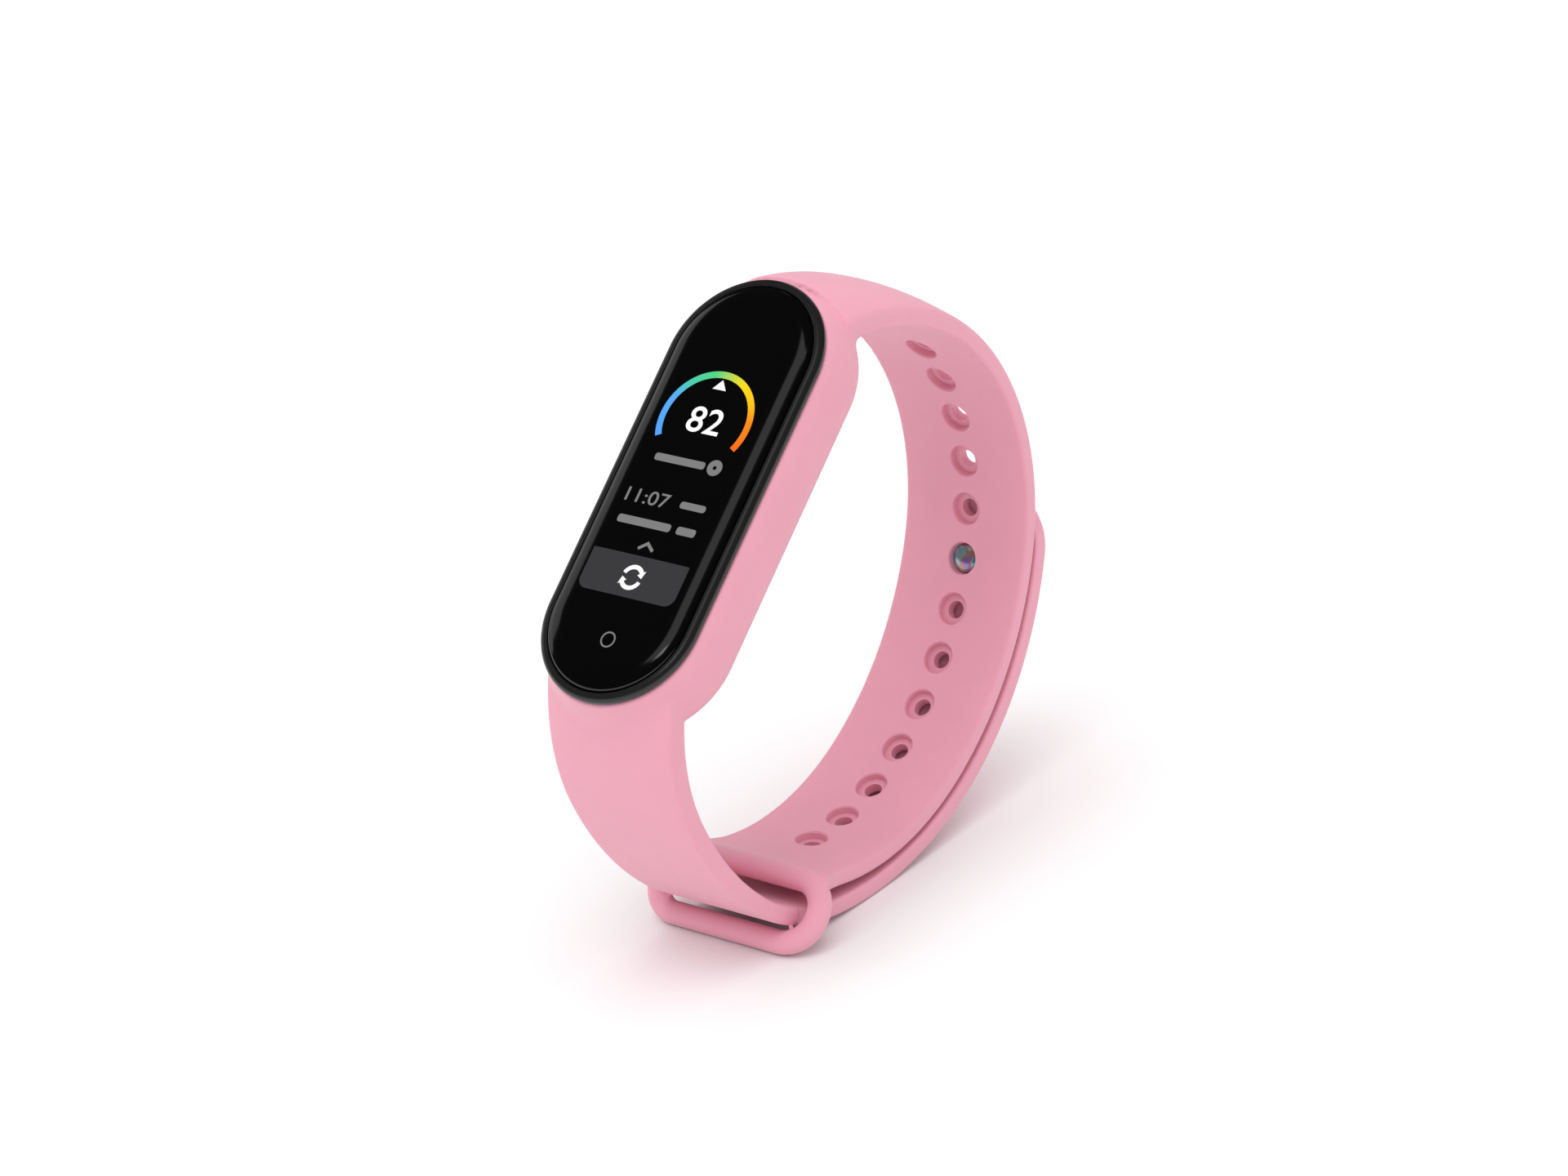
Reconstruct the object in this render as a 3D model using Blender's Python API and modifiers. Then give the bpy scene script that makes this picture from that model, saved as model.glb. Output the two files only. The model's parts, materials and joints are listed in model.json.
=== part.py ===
"""Fitness tracker band: a tracker capsule in a one-piece silicone wrist strap.

Every solid is drawn in the capsule's own frame and parented to the stance empty:
    X  across the wrist
    Y  from the screen towards the wrist
    Z  along the capsule, up the screen
The stance empty leans the whole band back until it rests on its keeper ring and tail.
"""
import math

import bmesh
import bpy
from mathutils import Matrix, Vector

MM = 0.001

# ---------------------------------------------------------------- driving dimensions
CAPSULE_LENGTH = 46.95 * MM
CAPSULE_WIDTH = 18.15 * MM
CAPSULE_DEPTH = 12.45 * MM
GLASS_DOME = 0.6 * MM
STRAP_WIDTH = 15.6 * MM
STRAP_THICKNESS = 1.9 * MM
HOLE_COUNT = 13
HOLE_PITCH = 5.545 * MM
FIRST_HOLE = 24.8 * MM
STUD_HOLE = 6
FLEX_DISTANCE = 12.0 * MM
STRAP_GAP = 0.3 * MM
FIT_GAP = 0.15 * MM

# ---------------------------------------------------------------- derived dimensions
BEZEL_RADIUS = CAPSULE_WIDTH / 2
HALF_STRAIGHT = CAPSULE_LENGTH / 2 - BEZEL_RADIUS
RIM_WIDTH = 1.05 * MM
GLASS_RADIUS = BEZEL_RADIUS - RIM_WIDTH
BODY_RADIUS = BEZEL_RADIUS - 0.87 * MM
CAVITY_RADIUS = BODY_RADIUS - 0.8 * MM
CRADLE_RADIUS = BODY_RADIUS + 1.75 * MM
POCKET_RADIUS = BODY_RADIUS + STRAP_GAP
HALF_WIDTH = STRAP_WIDTH / 2
HALF_THICKNESS = STRAP_THICKNESS / 2

# Depths below the plane of the glass outline.
GLASS_BACK = 0.45 * MM
BEZEL_LEDGE = GLASS_BACK + 0.5 * MM
BEZEL_UNDERSIDE = 1.1 * MM
CRADLE_FRONT = BEZEL_UNDERSIDE + FIT_GAP
CRADLE_BACK = 8.5 * MM
BEZEL_SKIRT = 2.4 * MM
SEAL_FRONT = BEZEL_SKIRT + FIT_GAP
SEAL_BACK = SEAL_FRONT + 0.4 * MM
HOUSING_FRONT = SEAL_BACK + FIT_GAP
HOUSING_BACK = 11.0 * MM
FLOOR_FRONT = HOUSING_BACK - 1.0 * MM
WINDOW_BACK = CAPSULE_DEPTH - GLASS_DOME

# Side-view routes of the strap's mid-surface: (y, z) start, heading from +Z towards +Y,
# then tangent arcs of (radius, turn in degrees). "side" points the normal off the wrist.
UPPER_ARM = {
    "start": (4.5 * MM, 21.0 * MM),
    "heading": 42.5,
    "arcs": ((32.0 * MM, 25.0), (26.0 * MM, 82.5), (33.0 * MM, 41.0), (28.1 * MM, 54.3)),
    "side": 1.0,
    "crown": 3.7 * MM,
    "crown_reach": 38.0 * MM,
}
LOWER_ARM = {
    "start": (3.6 * MM, -19.0 * MM),
    "heading": 150.2,
    "arcs": (
        (21.6 * MM, -41.9),
        (35.9 * MM, -25.4),
        (19.4 * MM, -28.4),
        (37.3 * MM, -27.3),
        (32.8 * MM, -32.8),
        (33.7 * MM, -31.5),
        (35.6 * MM, -6.2),
    ),
    "side": -1.0,
    "crown": 2.0 * MM,
    "crown_reach": 24.0 * MM,
}
FLOOR_ARC = 3
ROOT_THICKNESS = 2.6 * MM
ROOT_REACH = 26.0 * MM
SHOULDER_REACH = 6.0 * MM
ARM_STEP = 2.4 * MM
TIP_RADIUS = 6.2 * MM
CROWN_POWER = 2.4
OUTER_EDGE = 0.45 * MM
INNER_EDGE = 0.3 * MM

# Keeper ring: the loop at the upper arm's end that the lower arm passes through.
RING_INNER_BAR = (36.3 * MM, -25.0 * MM)
RING_OUTER_BAR = (36.9 * MM, -31.75 * MM)
RING_BAR_RADIUS = 1.25 * MM
RING_SIDE_ROOM = 0.9 * MM
RING_HALF_WIDTH = HALF_WIDTH + RING_SIDE_ROOM + RING_BAR_RADIUS
RING_CORNER = 3.3 * MM

# Stepped hole through the strap and the stud that fills it. The clasped hole is drawn
# stretched to its counterbore's radius, as the silicone is while the stud's head passes.
COUNTERBORE_RADIUS = 1.7 * MM
COUNTERBORE_DEPTH = 0.75 * MM
THROUGH_RADIUS = 0.95 * MM
STUD_HEAD_RADIUS = COUNTERBORE_RADIUS - 0.2 * MM
STUD_NECK_RADIUS = 1.0 * MM
STUD_HEAD_HEIGHT = 0.55 * MM
STUD_NECK_CHAMFER = 0.2 * MM
STUD_FLANGE_RADIUS = 2.9 * MM
STUD_FLANGE_THICKNESS = 0.5 * MM

# Vibration motor, lying across the capsule.
MOTOR_CENTRE = (0.0, 6.2 * MM, -11.5 * MM)
MOTOR_RADIUS = 2.0 * MM
MOTOR_CAN_LENGTH = 6.4 * MM
MOTOR_CAN_START = -5.6 * MM
MOTOR_CAN_EDGE = 0.15 * MM
SHAFT_RADIUS = 0.4 * MM
SHAFT_CLEARANCE = 0.05 * MM
SHAFT_INSET = 1.4 * MM
WEIGHT_LENGTH = 3.2 * MM
WEIGHT_CLEARANCE = 0.3 * MM
WEIGHT_BORE_CLEARANCE = 0.03 * MM
WEIGHT_CUT = 0.8 * MM

ROUND_STEPS = 48
SECTION_STEPS = 2
CROWN_STEPS = 6
SMALL_STEPS = 20
SHARP_ANGLE = math.radians(35)
COLLECTION = "fitness_tracker_band"


# ---------------------------------------------------------------- scene plumbing
def clear_scene():
    for item in list(bpy.data.objects):
        bpy.data.objects.remove(item, do_unlink=True)


def new_collection(name):
    group = bpy.data.collections.new(name)
    bpy.context.scene.collection.children.link(group)
    return group


def new_material(name, colour, roughness, metallic=0.0):
    surface = bpy.data.materials.new(name)
    surface.use_nodes = True
    shader = surface.node_tree.nodes["Principled BSDF"]
    shader.inputs["Base Color"].default_value = (*colour, 1.0)
    shader.inputs["Roughness"].default_value = roughness
    shader.inputs["Metallic"].default_value = metallic
    return surface


def place_item(item, group, place, parent):
    """Hang an object on the stance, or on a joint, with its placement given there."""
    group.objects.link(item)
    item.parent = parent or STANCE
    if place:
        item.matrix_basis = place


def add_node(name, mesh, look, place=None, parent=None):
    """Add a mesh as a named sub-part with its own material."""
    item = bpy.data.objects.new(name, mesh)
    item.data.materials.clear()
    item.data.materials.append(new_material(name, *look))
    place_item(item, PARTS, place, parent)
    return item


def add_cutter(name, mesh, place=None, parent=None):
    """Add a mesh that only shapes another one."""
    item = bpy.data.objects.new(name, mesh)
    item.hide_render = True
    item.display_type = "WIRE"
    place_item(item, TOOLS, place, parent)
    return item


def add_joint(name, place):
    """Add an empty on a joint's axis, for the pieces that move about it."""
    joint = bpy.data.objects.new(name, None)
    place_item(joint, TOOLS, place, None)
    return joint


def combine(item, tool, operation):
    step = item.modifiers.new(tool.name, "BOOLEAN")
    step.operation = operation
    step.solver = "EXACT"
    step.object = tool


def mesh_from(bm, name):
    bmesh.ops.recalc_face_normals(bm, faces=bm.faces[:])
    mesh = bpy.data.meshes.new(name)
    bm.to_mesh(mesh)
    bm.free()
    mesh.shade_smooth()
    mesh.set_sharp_from_angle(angle=SHARP_ANGLE)
    return mesh


# ---------------------------------------------------------------- shape helpers
def box(name, size):
    bm = bmesh.new()
    bmesh.ops.create_cube(bm, size=1.0, matrix=Matrix.Diagonal((*size, 1.0)))
    return mesh_from(bm, name)


def rounded_box(name, size, radius):
    bm = bmesh.new()
    bmesh.ops.create_cube(bm, size=1.0, matrix=Matrix.Diagonal((*size, 1.0)))
    bmesh.ops.bevel(bm, geom=bm.edges[:], offset=radius, segments=2, profile=0.5,
                    affect="EDGES")
    return mesh_from(bm, name)


def add_turned(bm, profile, place, steps, closed=False, half_straight=0.0):
    """Spin a profile of (radius, height) pairs round the local Y axis.

    half_straight moves the two halves apart along Z, which makes a stadium outline.
    """
    turned = bmesh.new()
    first = Matrix.Rotation(math.pi / steps, 3, "Y")
    corners = [turned.verts.new(first @ Vector((r, y, 0.0))) for r, y in profile]
    pairs = list(zip(corners, corners[1:]))
    if closed:
        pairs.append((corners[-1], corners[0]))
    edges = [turned.edges.new(pair) for pair in pairs]
    bmesh.ops.spin(turned, geom=corners + edges, cent=(0, 0, 0), axis=(0, 1, 0), dvec=(0, 0, 0),
                   angle=2 * math.pi, steps=steps, use_merge=True)
    if not closed:
        bmesh.ops.holes_fill(turned, edges=turned.edges[:], sides=0)
    for corner in turned.verts:
        corner.co.z += math.copysign(half_straight, corner.co.z)
    bmesh.ops.transform(turned, matrix=place, verts=turned.verts[:])
    bmesh.ops.recalc_face_normals(turned, faces=turned.faces[:])
    part = bpy.data.meshes.new("turned")
    turned.to_mesh(part)
    turned.free()
    bm.from_mesh(part)
    bpy.data.meshes.remove(part)


def turned(name, profile, steps=SMALL_STEPS, closed=False):
    bm = bmesh.new()
    add_turned(bm, profile, Matrix.Identity(4), steps, closed)
    return mesh_from(bm, name)


def stadium(name, profile, closed=False, half_straight=HALF_STRAIGHT, steps=ROUND_STEPS):
    bm = bmesh.new()
    add_turned(bm, profile, Matrix.Identity(4), steps, closed, half_straight)
    return mesh_from(bm, name)


def plate_profile(radius, front, back):
    return ((radius, front), (radius, back))


def along_x(centre):
    """Placement that lays a turned profile's height along +X from a centre."""
    return Matrix.Translation(centre) @ Matrix.Rotation(-math.pi / 2, 4, "Z")


# ---------------------------------------------------------------- strap routes
def walk(arm, distance):
    """Point (y, z) and heading in radians at a distance along an arm's mid-surface."""
    y, z = arm["start"]
    heading = math.radians(arm["heading"])
    for radius, turn in arm["arcs"]:
        bend = math.copysign(radius, turn)
        step = min(distance, radius * math.radians(abs(turn)))
        turned_to = heading + step / bend
        y += bend * (math.cos(heading) - math.cos(turned_to))
        z += bend * (math.sin(turned_to) - math.sin(heading))
        heading = turned_to
        distance -= step
    return y, z, heading


def arm_length(arm):
    return sum(radius * math.radians(abs(turn)) for radius, turn in arm["arcs"])


def arm_frame(arm, distance):
    """Placement at a point of an arm: local Y leaves the wrist, local Z runs along it."""
    y, z, heading = walk(arm, distance)
    along = Vector((0.0, math.sin(heading), math.cos(heading)))
    outward = arm["side"] * Vector((0.0, -math.cos(heading), math.sin(heading)))
    across = outward.cross(along)
    frame = Matrix((across, outward, along)).transposed().to_4x4()
    frame.translation = (0.0, y, z)
    return frame


def distance_nearest(arm, point):
    """Distance along an arm of its mid-surface point nearest to a (y, z) point."""
    low, high = 0.0, arm_length(arm)
    for _ in range(6):
        step = (high - low) / 40
        tries = [low + step * i for i in range(41)]
        best = min(tries, key=lambda s: math.dist(walk(arm, s)[:2], point))
        low, high = max(low, best - step), min(high, best + step)
    return best


def even_stations(start, end):
    count = round((end - start) / ARM_STEP)
    return [start + (end - start) * i / count for i in range(count + 1)]


def quarter_angles(count):
    return [math.pi / 2 * i / count for i in range(1, count + 1)]


def fade(distance, reach):
    """Share that falls from one to nothing over a reach."""
    return max(1 - distance / reach, 0.0) ** 2


def strap_section(half_width, thickness, crown):
    """Rounded outline of the strap as (across, outward) points.

    crown lifts the middle of the outer face above its two edges.
    """
    half = thickness / 2
    corners = ((1, 1, OUTER_EDGE), (-1, 1, OUTER_EDGE), (-1, -1, INNER_EDGE), (1, -1, INNER_EDGE))
    outline = []
    for quarter, (across, outward, edge) in enumerate(corners):
        radius = min(edge, half)
        for i in range(SECTION_STEPS + 1):
            angle = math.pi / 2 * (quarter + i / SECTION_STEPS)
            x = across * (half_width - radius) + radius * math.cos(angle)
            y = outward * (half - radius) + radius * math.sin(angle)
            outline.append((x, y))
        if quarter == 0:
            flat = half_width - radius
            outline += [(flat - 2 * flat * i / CROWN_STEPS, half) for i in range(1, CROWN_STEPS)]
    return [(x, y + crown * (1 - abs(x / half_width) ** CROWN_POWER) if y > 0 else y)
            for x, y in outline]


def strap_length(name, arm, stations, half_width, thickness):
    """Closed length of strap that follows an arm through its stations."""
    places = [arm_frame(arm, s) for s in stations]
    outlines = [strap_section(half_width(s), thickness(s),
                              arm["crown"] * fade(s, arm["crown_reach"])) for s in stations]
    columns = len(outlines[0])
    rows = len(stations) - 1
    bm = bmesh.new()
    bmesh.ops.create_grid(bm, x_segments=columns, y_segments=rows, size=0.5)
    for corner in bm.verts:
        row = round((corner.co.y + 0.5) * rows)
        column = round((corner.co.x + 0.5) * columns) % columns
        corner.co = places[row] @ Vector((*outlines[row][column], 0.0))
    bmesh.ops.remove_doubles(bm, verts=bm.verts[:], dist=0.001 * MM)
    bmesh.ops.holes_fill(bm, edges=bm.edges[:], sides=0)
    return mesh_from(bm, name)


# ---------------------------------------------------------------- strap and clasp
def hole_distance(number):
    return FIRST_HOLE + HOLE_PITCH * (number - 1)


def stud_distance():
    """Distance along the lower arm of the stud, which sits over its hole."""
    y, z, _ = walk(UPPER_ARM, hole_distance(STUD_HOLE))
    return distance_nearest(LOWER_ARM, (y, z))


def hinge_distance():
    return stud_distance() - FLEX_DISTANCE


def strap_hole_cutters():
    bm = bmesh.new()
    step = HALF_THICKNESS - COUNTERBORE_DEPTH
    beyond = 2 * STRAP_THICKNESS
    for number in range(1, HOLE_COUNT + 1):
        narrow = COUNTERBORE_RADIUS if number == STUD_HOLE else THROUGH_RADIUS
        profile = [(COUNTERBORE_RADIUS, -beyond / 2), (narrow, beyond / 2)]
        if number != STUD_HOLE:
            profile[1:1] = [(COUNTERBORE_RADIUS, -step), (THROUGH_RADIUS, -step)]
        place = arm_frame(UPPER_ARM, hole_distance(number))
        add_turned(bm, profile, place, SMALL_STEPS)
    return mesh_from(bm, "strap_holes")


def ring_frame():
    """Placement at the ring's centre: local X across, local Y from inner to outer bar."""
    inner = Vector((0.0, *RING_INNER_BAR))
    outer = Vector((0.0, *RING_OUTER_BAR))
    across = Vector((1.0, 0.0, 0.0))
    upright = (outer - inner).normalized()
    frame = Matrix((across, upright, across.cross(upright))).transposed().to_4x4()
    frame.translation = (inner + outer) / 2
    return frame, (outer - inner).length / 2


def keeper_ring():
    """Round bar bent to a rounded rectangle."""
    place, half_height = ring_frame()
    half_x = RING_HALF_WIDTH - RING_CORNER
    half_y = half_height - RING_CORNER
    steps = 6
    route = []
    for corner, (sx, sy) in enumerate(((1, 1), (-1, 1), (-1, -1), (1, -1))):
        for i in range(steps + 1):
            angle = math.pi / 2 * (corner + i / steps)
            route.append((sx * half_x + RING_CORNER * math.cos(angle),
                          sy * half_y + RING_CORNER * math.sin(angle), 0.0))
    curve = bpy.data.curves.new("keeper_ring", "CURVE")
    curve.dimensions = "3D"
    curve.bevel_depth = RING_BAR_RADIUS
    curve.bevel_resolution = 4
    spline = curve.splines.new("POLY")
    spline.points.add(len(route) - 1)
    for point, position in zip(spline.points, route):
        point.co = (*(place @ Vector(position)), 1.0)
    spline.use_cyclic_u = True
    holder = bpy.data.objects.new("keeper_ring_curve", curve)
    mesh = bpy.data.meshes.new_from_object(holder)
    mesh.name = "keeper_ring"
    bpy.data.objects.remove(holder)
    return mesh


def cradle_profile():
    """Outer skin of the cradle, from its front face to its back face."""
    return (
        (BEZEL_RADIUS - 0.1 * MM, CRADLE_FRONT),
        (BEZEL_RADIUS + 0.1 * MM, CRADLE_FRONT + 0.12 * MM),
        (BEZEL_RADIUS + 0.3 * MM, CRADLE_FRONT + 0.55 * MM),
        (CRADLE_RADIUS - 0.28 * MM, CRADLE_FRONT + 1.6 * MM),
        (CRADLE_RADIUS - 0.07 * MM, CRADLE_FRONT + 2.8 * MM),
        (CRADLE_RADIUS, CRADLE_BACK - 3.2 * MM),
        (CRADLE_RADIUS, CRADLE_BACK - 2.6 * MM),
        (CRADLE_RADIUS - 0.4 * MM, CRADLE_BACK - 1.4 * MM),
        (CRADLE_RADIUS - 1.1 * MM, CRADLE_BACK - 0.4 * MM),
        (CRADLE_RADIUS - 1.7 * MM, CRADLE_BACK),
    )


def pocket_profile():
    """The capsule's pocket, which narrows behind the capsule's widest part."""
    return (
        (POCKET_RADIUS, CRADLE_FRONT - 4 * MM),
        (POCKET_RADIUS, CRADLE_BACK - 2.0 * MM),
        (POCKET_RADIUS - 0.6 * MM, CRADLE_BACK),
        (POCKET_RADIUS - 0.6 * MM, CRADLE_BACK + 9 * MM),
    )


def upper_half_width(distance):
    """Half width of the upper arm, whose shoulders meet the outside of the ring's corners."""
    reach = math.sqrt((RING_CORNER + RING_BAR_RADIUS) ** 2 - RING_CORNER ** 2)
    shoulder = RING_HALF_WIDTH - RING_CORNER + reach - HALF_WIDTH
    return HALF_WIDTH + shoulder * fade(arm_length(UPPER_ARM) - distance, SHOULDER_REACH)


def lower_thickness(distance):
    """The lower arm is thicker where it leaves the cradle."""
    return STRAP_THICKNESS + (ROOT_THICKNESS - STRAP_THICKNESS) * fade(distance, ROOT_REACH)


def strap_body(look):
    """Cradle, both arms and the keeper ring, which are one silicone moulding."""
    body = add_node("strap_body", stadium("strap_body", cradle_profile()), look)
    upper = even_stations(0.0, arm_length(UPPER_ARM))
    lower = even_stations(0.0, hinge_distance() - HALF_THICKNESS - STRAP_GAP)
    for tool in (
        strap_length("upper_arm", UPPER_ARM, upper, upper_half_width, lambda s: STRAP_THICKNESS),
        strap_length("lower_arm", LOWER_ARM, lower, lambda s: HALF_WIDTH, lower_thickness),
        keeper_ring(),
    ):
        combine(body, add_cutter(tool.name, tool), "UNION")
    for tool in (stadium("capsule_pocket", pocket_profile()), strap_hole_cutters()):
        combine(body, add_cutter(tool.name, tool), "DIFFERENCE")
    return body


def tail_stations(start, end):
    """Distances along the tail: a rounded start, an even run, then a rounded tip."""
    barrel = [start - HALF_THICKNESS * math.cos(angle) for angle in quarter_angles(4)]
    run = even_stations(start, end - TIP_RADIUS)[1:]
    tip = [end - TIP_RADIUS * (1 - math.sin(angle)) for angle in quarter_angles(9)[:-1]]
    return barrel + run + tip


def tail_half_width(distance, end):
    inset = max(TIP_RADIUS - (end - distance), 0.0)
    return HALF_WIDTH - TIP_RADIUS + math.sqrt(TIP_RADIUS ** 2 - inset ** 2)


def tail_thickness(distance, start, end):
    """Full thickness, rounded off to a half circle at both ends."""
    before = max(start - distance, 0.0)
    past = max(distance - (end - HALF_THICKNESS), 0.0)
    return 2 * math.sqrt(HALF_THICKNESS ** 2 - max(before, past) ** 2)


def strap_tail(flex, look):
    """End of the lower arm past its flex line, which its rounded start is centred on."""
    start = hinge_distance()
    end = arm_length(LOWER_ARM)
    mesh = strap_length("strap_tail", LOWER_ARM, tail_stations(start, end),
                        lambda s: tail_half_width(s, end),
                        lambda s: tail_thickness(s, start, end))
    mesh.transform(flex.matrix_basis.inverted())
    tail = add_node("strap_tail", mesh, look, parent=flex)
    seat_floor = HALF_THICKNESS - STUD_FLANGE_THICKNESS - 2 * FIT_GAP
    seat = ((STUD_NECK_RADIUS + FIT_GAP, -STRAP_THICKNESS),
            (STUD_NECK_RADIUS + FIT_GAP, seat_floor),
            (STUD_FLANGE_RADIUS + FIT_GAP, seat_floor),
            (STUD_FLANGE_RADIUS + FIT_GAP, STRAP_THICKNESS))
    place = flex.matrix_basis.inverted() @ arm_frame(LOWER_ARM, stud_distance())
    combine(tail, add_cutter("stud_seat", turned("stud_seat", seat), place, flex), "DIFFERENCE")
    return tail


def clasp_stud(flex, look):
    """Metal stud: flange in the tail, neck through both straps, head in the stepped hole."""
    y, z, _ = walk(UPPER_ARM, hole_distance(STUD_HOLE))
    over_y, over_z, _ = walk(LOWER_ARM, stud_distance())
    hole_step = -math.dist((y, z), (over_y, over_z)) - (HALF_THICKNESS - COUNTERBORE_DEPTH)
    head_top = hole_step - FIT_GAP
    head_end = head_top - STUD_HEAD_HEIGHT
    flange_top = HALF_THICKNESS - FIT_GAP
    profile = (
        (STUD_HEAD_RADIUS - 0.55 * MM, head_end),
        (STUD_HEAD_RADIUS - 0.1 * MM, head_end + 0.18 * MM),
        (STUD_HEAD_RADIUS, head_end + 0.35 * MM),
        (STUD_HEAD_RADIUS, head_top),
        (STUD_NECK_RADIUS, head_top + STUD_NECK_CHAMFER),
        (STUD_NECK_RADIUS, flange_top - STUD_FLANGE_THICKNESS),
        (STUD_FLANGE_RADIUS, flange_top - STUD_FLANGE_THICKNESS),
        (STUD_FLANGE_RADIUS, flange_top - 0.12 * MM),
        (STUD_FLANGE_RADIUS - 0.2 * MM, flange_top),
    )
    place = flex.matrix_basis.inverted() @ arm_frame(LOWER_ARM, stud_distance())
    return add_node("clasp_stud", turned("clasp_stud", profile), look, place, flex)


# ---------------------------------------------------------------- capsule shell
def cover_glass(look):
    edge = GLASS_RADIUS
    profile = (
        (edge - 0.1 * MM, GLASS_BACK),
        (edge, GLASS_BACK - 0.1 * MM),
        (edge, 0.2 * MM),
        (edge - 0.08 * MM, 0.06 * MM),
        (edge - 0.2 * MM, -0.04 * MM),
        (edge - 0.4 * MM, -0.15 * MM),
        (edge - 0.8 * MM, -0.31 * MM),
        (edge - 1.5 * MM, -0.46 * MM),
        (edge - 2.4 * MM, -0.55 * MM),
        (edge - 3.6 * MM, -0.585 * MM),
        (edge - 5.6 * MM, -GLASS_DOME),
    )
    return add_node("cover_glass", stadium("cover_glass", profile), look)


def bezel_housing(look):
    """Gloss rim round the glass, with the ledge that carries it and a skirt below."""
    rim_inner = GLASS_RADIUS + FIT_GAP
    profile = (
        (rim_inner, 0.28 * MM),
        (rim_inner + 0.08 * MM, 0.16 * MM),
        (rim_inner + 0.3 * MM, 0.13 * MM),
        (BEZEL_RADIUS - 0.3 * MM, 0.24 * MM),
        (BEZEL_RADIUS - 0.1 * MM, 0.42 * MM),
        (BEZEL_RADIUS, 0.7 * MM),
        (BEZEL_RADIUS, 0.95 * MM),
        (BEZEL_RADIUS - 0.15 * MM, BEZEL_UNDERSIDE),
        (BODY_RADIUS, BEZEL_UNDERSIDE),
        (BODY_RADIUS, BEZEL_SKIRT),
        (CAVITY_RADIUS, BEZEL_SKIRT),
        (CAVITY_RADIUS, BEZEL_LEDGE + 0.6 * MM),
        (CAVITY_RADIUS - 0.5 * MM, BEZEL_LEDGE + 0.6 * MM),
        (CAVITY_RADIUS - 0.5 * MM, BEZEL_LEDGE),
        (rim_inner, BEZEL_LEDGE),
    )
    return add_node("bezel_housing", stadium("bezel_housing", profile, closed=True), look)


def housing_skin():
    """Outer skin of the rear housing, from its open front to its flat back."""
    return (
        (BODY_RADIUS, HOUSING_FRONT),
        (BODY_RADIUS, 6.5 * MM),
        (BODY_RADIUS - 0.65 * MM, 8.6 * MM),
        (BODY_RADIUS - 1.3 * MM, 9.8 * MM),
        (BODY_RADIUS - 2.2 * MM, 10.7 * MM),
        (BODY_RADIUS - 2.9 * MM, HOUSING_BACK),
    )


def housing_cavity():
    return (
        (CAVITY_RADIUS, HOUSING_FRONT - 1 * MM),
        (CAVITY_RADIUS, 6.3 * MM),
        (CAVITY_RADIUS - 0.75 * MM, 8.7 * MM),
        (CAVITY_RADIUS - 1.6 * MM, FLOOR_FRONT),
    )


def contact_positions():
    return ((-2.2 * MM, 0.0, -14.0 * MM), (2.2 * MM, 0.0, -14.0 * MM))


def rear_housing(look):
    """Cup that holds the battery, with openings for the sensor window and the contacts."""
    cup = add_node("rear_housing", stadium("rear_housing", housing_skin()), look)
    combine(cup, add_cutter("housing_cavity", stadium("cavity", housing_cavity())), "DIFFERENCE")
    bm = bmesh.new()
    opening = plate_profile(WINDOW_RADIUS + FIT_GAP, FLOOR_FRONT - 0.5 * MM, HOUSING_BACK + 1 * MM)
    add_turned(bm, opening, Matrix.Identity(4), ROUND_STEPS)
    pin_hole = plate_profile(CONTACT_RADIUS + FIT_GAP, FLOOR_FRONT - 0.5 * MM,
                             HOUSING_BACK + 1 * MM)
    for centre in contact_positions():
        add_turned(bm, pin_hole, Matrix.Translation(centre), SMALL_STEPS)
    combine(cup, add_cutter("back_openings", mesh_from(bm, "back_openings")), "DIFFERENCE")
    return cup


def glass_adhesive(look):
    profile = (
        (CAVITY_RADIUS - 0.3 * MM, GLASS_BACK + FIT_GAP),
        (GLASS_RADIUS - 0.1 * MM, GLASS_BACK + FIT_GAP),
        (GLASS_RADIUS - 0.1 * MM, BEZEL_LEDGE - FIT_GAP),
        (CAVITY_RADIUS - 0.3 * MM, BEZEL_LEDGE - FIT_GAP),
    )
    return add_node("glass_adhesive", stadium("glass_adhesive", profile, closed=True), look)


def housing_seal(look):
    profile = (
        (CAVITY_RADIUS + 0.1 * MM, SEAL_FRONT),
        (BODY_RADIUS - 0.1 * MM, SEAL_FRONT),
        (BODY_RADIUS - 0.1 * MM, SEAL_BACK),
        (CAVITY_RADIUS + 0.1 * MM, SEAL_BACK),
    )
    return add_node("housing_seal", stadium("housing_seal", profile, closed=True), look)


# ---------------------------------------------------------------- display stack
TOUCH_RADIUS = 6.5 * MM
TOUCH_FRONT = GLASS_BACK + FIT_GAP
TOUCH_BACK = TOUCH_FRONT + 0.2 * MM
DISPLAY_SIZE = (12.0 * MM, 0.6 * MM, 28.0 * MM)
DISPLAY_CENTRE = (0.0, TOUCH_BACK + FIT_GAP + DISPLAY_SIZE[1] / 2, 1.5 * MM)
BOARD_FRONT = 2.65 * MM
BOARD_THICKNESS = 0.6 * MM
BOARD_BACK = BOARD_FRONT + BOARD_THICKNESS
BOARD_RADIUS = CAVITY_RADIUS - 0.25 * MM
FLEX_THICKNESS = 0.14 * MM


def touch_sensor(look):
    mesh = stadium("touch_sensor", plate_profile(TOUCH_RADIUS, TOUCH_FRONT, TOUCH_BACK))
    return add_node("touch_sensor", mesh, look)


def display_panel(look):
    return add_node("display_panel", box("display_panel", DISPLAY_SIZE), look,
                    Matrix.Translation(DISPLAY_CENTRE))


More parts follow.
